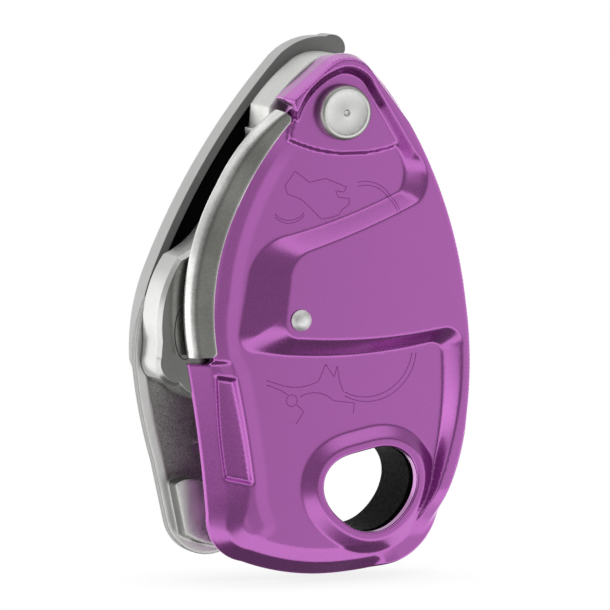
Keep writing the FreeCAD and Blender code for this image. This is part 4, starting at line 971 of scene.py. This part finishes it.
# ------------------------------------------------------------------ rope lip
def build_lip():
    """Steel lip rolled round the left edge of the front plate."""
    stations = 150
    shares = np.linspace(0, 1, stations)
    outer = fractions(arcs((-43.15, 33.0), [("line", -43.2, 34.0)] + LEFT_EDGE), shares)
    inner = fractions(arcs((-38.9, 33.0), [
        ("line", -38.9, 34.0),
        ("arc", -38.6, 54.0, -32.8, 70.0),
        ("arc", -27.0, 79.7, -18.7, 89.6),
    ]), shares)
    path_length = 60.0
    middle_radius = ROLL_OUTER - LIP_THICKNESS / 2
    centre = -ROLL_MIDDLE
    vertices = []
    for share, p, q in zip(shares, outer, inner):
        width = np.linalg.norm(p - q)
        aside = (p - q) / width
        # rounded corners of the flange at both ends of the lip
        for end, corner in ((share * path_length, 1.2), ((1 - share) * path_length, 2.4)):
            if end < corner:
                width -= corner * (1 - math.sqrt(1 - (1 - end / corner) ** 2))
        # flat flange, half roll, short return; each point has a half thickness and a normal
        line = [(-width, 0.3, 0.0, 1.0), (-width + 0.12, 0.47, 0.0, 1.0), (-width + 0.35, 0.6, 0.0, 1.0)]
        line += [(-width + 0.35 + (width - 0.35) * k / 6, 0.6, 0.0, 1.0) for k in range(1, 6)]
        section = [(o, centre + middle_radius, h, n, f) for o, h, n, f in line]
        for k in range(19):
            turn = math.pi / 2 - math.pi * k / 18
            n, f = math.cos(turn), math.sin(turn)
            section.append((middle_radius * n, centre + middle_radius * f, 0.6, n, f))
        section.append((-0.6, centre - middle_radius, 0.6, 0.0, -1.0))
        front = [(o + h * n, f + h * g) for o, f, h, n, g in section]
        rear = [(o - h * n, f - h * g) for o, f, h, n, g in section]
        for o, f in front + rear[::-1]:
            place = p + aside * o
            vertices.append((place[0], -f, place[1]))
    ring = len(vertices) // stations
    half = ring // 2
    faces = []
    for i in range(stations - 1):
        for k in range(ring):
            n = (k + 1) % ring
            a, b = i * ring, (i + 1) * ring
            faces.append((a + k, b + k, b + n, a + n))
    last = (stations - 1) * ring
    for k in range(half - 1):
        faces.append((k, k + 1, ring - 2 - k, ring - 1 - k))
        faces.append((last + k + 1, last + k, last + ring - 1 - k, last + ring - 2 - k))
    lip = sharpen(add_mesh("rope_lip", vertices, [f[::-1] for f in faces], FINISH["stainless"]), 40)
    attach(lip, "moving_plate", "stainless", "wear_plate")

    front = ROLL_MIDDLE + ROLL_OUTER - LIP_THICKNESS
    sheet = slab("rope_lip_sheet", closed_arcs((-43.2, 34.0), LEFT_EDGE + [
        ("line", -19.0, 80.0),
        ("arc", -24.0, 68.0, -14.0, 60.0),
        ("arc", -9.5, 46.0, -14.0, 37.6),
        ("line", -30.0, 34.0),
    ]), round_profile(front, front + LIP_THICKNESS, 0.15, 0.3, 3), FINISH["stainless"],
        [circle(SMALL_RIVET, SMALL_SHANK_HOLE, 32)])
    attach(sheet, "moving_plate", "stainless", "wear_plate")


# ------------------------------------------------------------------ rivets
def build_rivets():
    """The big pivot rivet with its stepped disc and the small domed rivet."""
    seat = -(FLOOR + PLATFORM_RISE)
    back = extent("pivot_rivet", 1)[1]
    top = HEAD_FRONT
    shank = 3.2
    head = HEAD_RADIUS + 0.3
    rings = [(0, 0.5), (0.5, 0.45), (0.85, 0.16), (1.05, 0.14), (1.2, 0.17), (3.0, 0.16), (5.1, 0.13),
             (5.25, 0.07), (5.4, 0.02), (5.6, 0.0), (5.95, 0.1), (6.3, 0.34), (6.55, 0.72), (head, 1.3)]
    profile = [(radius, top + depth) for radius, depth in rings]
    profile += [(head, seat - 0.1), (head - 0.1, seat), (shank, seat), (shank, back - 0.3),
                (shank - 0.3, back), (0, back)]
    rivet = lathe("pivot_rivet_head", PIVOT, profile, FINISH["rivet_steel"])
    attach(rivet, "frame", "rivet_steel", "pivot_rivet")

    seat = -PLATEAU
    back = extent("wear_plate_rivet", 1)[1]
    shank = 1.5
    dome = [(0, SMALL_FRONT), (0.6, SMALL_FRONT + 0.02), (1.2, SMALL_FRONT + 0.14),
            (1.75, SMALL_FRONT + 0.36), (2.2, SMALL_FRONT + 0.7), (SMALL_RADIUS - 0.05, seat - 0.25),
            (SMALL_RADIUS, seat), (shank, seat), (shank, back - 0.5), (SMALL_RADIUS - 0.5, back - 0.5),
            (SMALL_RADIUS - 0.5, back - 0.2), (SMALL_RADIUS - 0.8, back), (0, back)]
    small = lathe("lip_rivet", SMALL_RIVET, dome, FINISH["bright_rivet"], 64)
    attach(small, "moving_plate", "rivet_steel", "wear_plate_rivet")


def build_cam_mark():
    """Dark oval line on the front of the cam's nose."""
    front = -extent("cam", 1)[0]
    turn = np.linspace(0, 2 * math.pi, 61)
    oval = np.column_stack([-44.6 + 2.6 * np.cos(turn), 38.6 + 6.4 * np.sin(turn)])
    mark = line_strips("cam_mark", [oval], lambda points: np.full(len(points), front), 0.3, 0.02,
                       FINISH["engraving"])
    attach(mark, "cam", "polished_stainless")


def build_cam_spring():
    """Torsion spring round the axle, in front of the cam."""
    wire = 0.42
    turns, pitch = 2.0, 0.95
    front_leg, rear_leg = 0.7, 0.9
    front = extent("cam_return_spring", 1)[0] + wire
    radius = AXLE[0] - extent("cam_return_spring", 0)[0] - wire
    angle = np.linspace(0, 2 * math.pi * turns, int(72 * turns) + 1)
    path = np.column_stack([AXLE[0] + radius * np.cos(angle), front + pitch * angle / (2 * math.pi),
                            AXLE[1] - radius * np.sin(angle)])
    path = np.vstack([path[0] + (front_leg, 0, 0), path, path[-1] + (0, rear_leg, 0)])
    spring = tube("cam_spring", path, wire, FINISH["spring_steel"])
    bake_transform(spring)
    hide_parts("cam_return_spring")


# ------------------------------------------------------------------ surroundings
def build_world():
    """White behind the object; light and reflections come from soft bands by azimuth and height."""
    world = bpy.data.worlds.new("studio")
    bpy.context.scene.world = world
    world.use_nodes = True
    tree = world.node_tree
    tree.nodes.clear()
    direction = add_node(tree, "ShaderNodeTexCoord").outputs["Generated"]
    parts = split(tree, direction)
    forwards = arithmetic(tree, "MULTIPLY", parts["Y"], -1.0)
    around = arithmetic(tree, "ARCTAN2", parts["X"], forwards)
    around = span(tree, around, -math.pi, math.pi, 0.0, 1.0)
    brightest = 3.0

    def level_ramp(value, stops):
        node = add_node(tree, "ShaderNodeValToRGB")
        elements = node.color_ramp.elements
        while len(elements) < len(stops):
            elements.new(0.5)
        for element, (position, light) in zip(elements, stops):
            element.position = position
            element.color = (light / brightest, light / brightest, light / brightest, 1)
        tree.links.new(value, node.inputs["Fac"])
        return node.outputs["Color"]

    def by_azimuth(stops):
        return level_ramp(around, [((azimuth + 180) / 360, light) for azimuth, light in stops])

    def above(low, high):
        """0 below one elevation in degrees, 1 above the other."""
        low, high = math.sin(math.radians(low)), math.sin(math.radians(high))
        return span(tree, parts["Z"], low, high, 0, 1, True)

    light = by_azimuth([(-180, 1.35), (-140, 1.35), (-125, 1.35), (-75, 1.5), (-62, 1.1), (-52, 0.5),
                        (-42, 0.26), (-8, 0.26), (6, 0.4), (24, 0.76), (50, 1.0), (100, 1.2),
                        (140, 1.35), (180, 1.35)])
    high = by_azimuth([(-180, 0.78), (-100, 0.78), (-40, 0.28), (40, 0.28), (100, 0.65), (180, 0.78)])
    light = mix_colour(tree, above(8, 15), light, high)
    light = mix_colour(tree, above(36, 46), light, (1.1 / brightest,) * 3)
    light = mix_colour(tree, above(60, 76), light, (0.8 / brightest,) * 3)
    light = mix_colour(tree, above(-12, -22), light, (1.15 / brightest,) * 3)
    light = mix_colour(tree, above(-44, -54), light, (0.14 / brightest,) * 3)
    studio = add_node(tree, "ShaderNodeBackground", in_Strength=brightest)
    tree.links.new(light, studio.inputs["Color"])
    white = add_node(tree, "ShaderNodeBackground", in_Strength=1.0)
    white.inputs["Color"].default_value = (1, 1, 1, 1)
    path = add_node(tree, "ShaderNodeLightPath")
    mixer = add_node(tree, "ShaderNodeMixShader")
    tree.links.new(path.outputs["Is Camera Ray"], mixer.inputs["Fac"])
    tree.links.new(studio.outputs["Background"], mixer.inputs[1])
    tree.links.new(white.outputs["Background"], mixer.inputs[2])
    output = add_node(tree, "ShaderNodeOutputWorld")
    tree.links.new(mixer.outputs["Shader"], output.inputs["Surface"])


def build_floor():
    """Pale floor just under the object, with a painted contact shadow from ambient occlusion; it only shows to the
    camera.
    """
    material = bpy.data.materials.new("pale_floor")
    material.use_nodes = True
    tree = material.node_tree
    tree.nodes.clear()
    painted_contact_shadow = add_node(tree, "ShaderNodeAmbientOcclusion", samples=8)
    painted_contact_shadow.inputs["Distance"].default_value = 0.02
    glow = add_node(tree, "ShaderNodeEmission")
    # painted contact shadow: the floor's glow drops to 0.8 where ambient occlusion finds the object near
    tree.links.new(mix_colour(tree, painted_contact_shadow.outputs["AO"], (0.80, 0.80, 0.80), (1.0, 1.0, 1.0)),
                   glow.inputs["Color"])
    output = add_node(tree, "ShaderNodeOutputMaterial")
    tree.links.new(glow.outputs["Emission"], output.inputs["Surface"])
    lowest = CAD_BOUNDS[0][2] / MM - 1.5
    reach = 4000.0
    corners = [(x * reach, y * reach, lowest) for x, y in ((-1, -1), (1, -1), (1, 1), (-1, 1))]
    floor = add_mesh("floor", corners, [(0, 1, 2, 3)], material)
    for ray in ("visible_diffuse", "visible_glossy", "visible_transmission", "visible_shadow"):
        setattr(floor, ray, False)


def build_camera():
    """Long lens, left of the object and a little above it."""
    azimuth, elevation = math.radians(-23), math.radians(5.5)
    backwards = Vector((math.sin(azimuth) * math.cos(elevation), -math.cos(azimuth) * math.cos(elevation),
                        math.sin(elevation)))
    sideways = Vector((0, 0, 1)).cross(backwards).normalized()
    upwards = backwards.cross(sideways)
    frame_width = 146.3 * MM
    away = 2.4
    aim = sideways * -11.0 * MM + upwards * 42.95 * MM
    camera = bpy.data.cameras.new("camera")
    camera.sensor_width = 36
    camera.lens = 36 * away / frame_width
    camera.clip_end = 20
    obj = bpy.data.objects.new("camera", camera)
    obj.location = aim + backwards * away
    obj.rotation_euler = (-backwards).to_track_quat("-Z", "Y").to_euler()
    bpy.context.scene.collection.objects.link(obj)
    bpy.context.scene.camera = obj


finish_cad_nodes()
surface = build_front_plate()
build_markings(surface)
build_lip()
build_rivets()
build_cam_mark()
build_cam_spring()
build_world()
build_floor()
build_camera()
bpy.context.scene.view_settings.view_transform = "Standard"
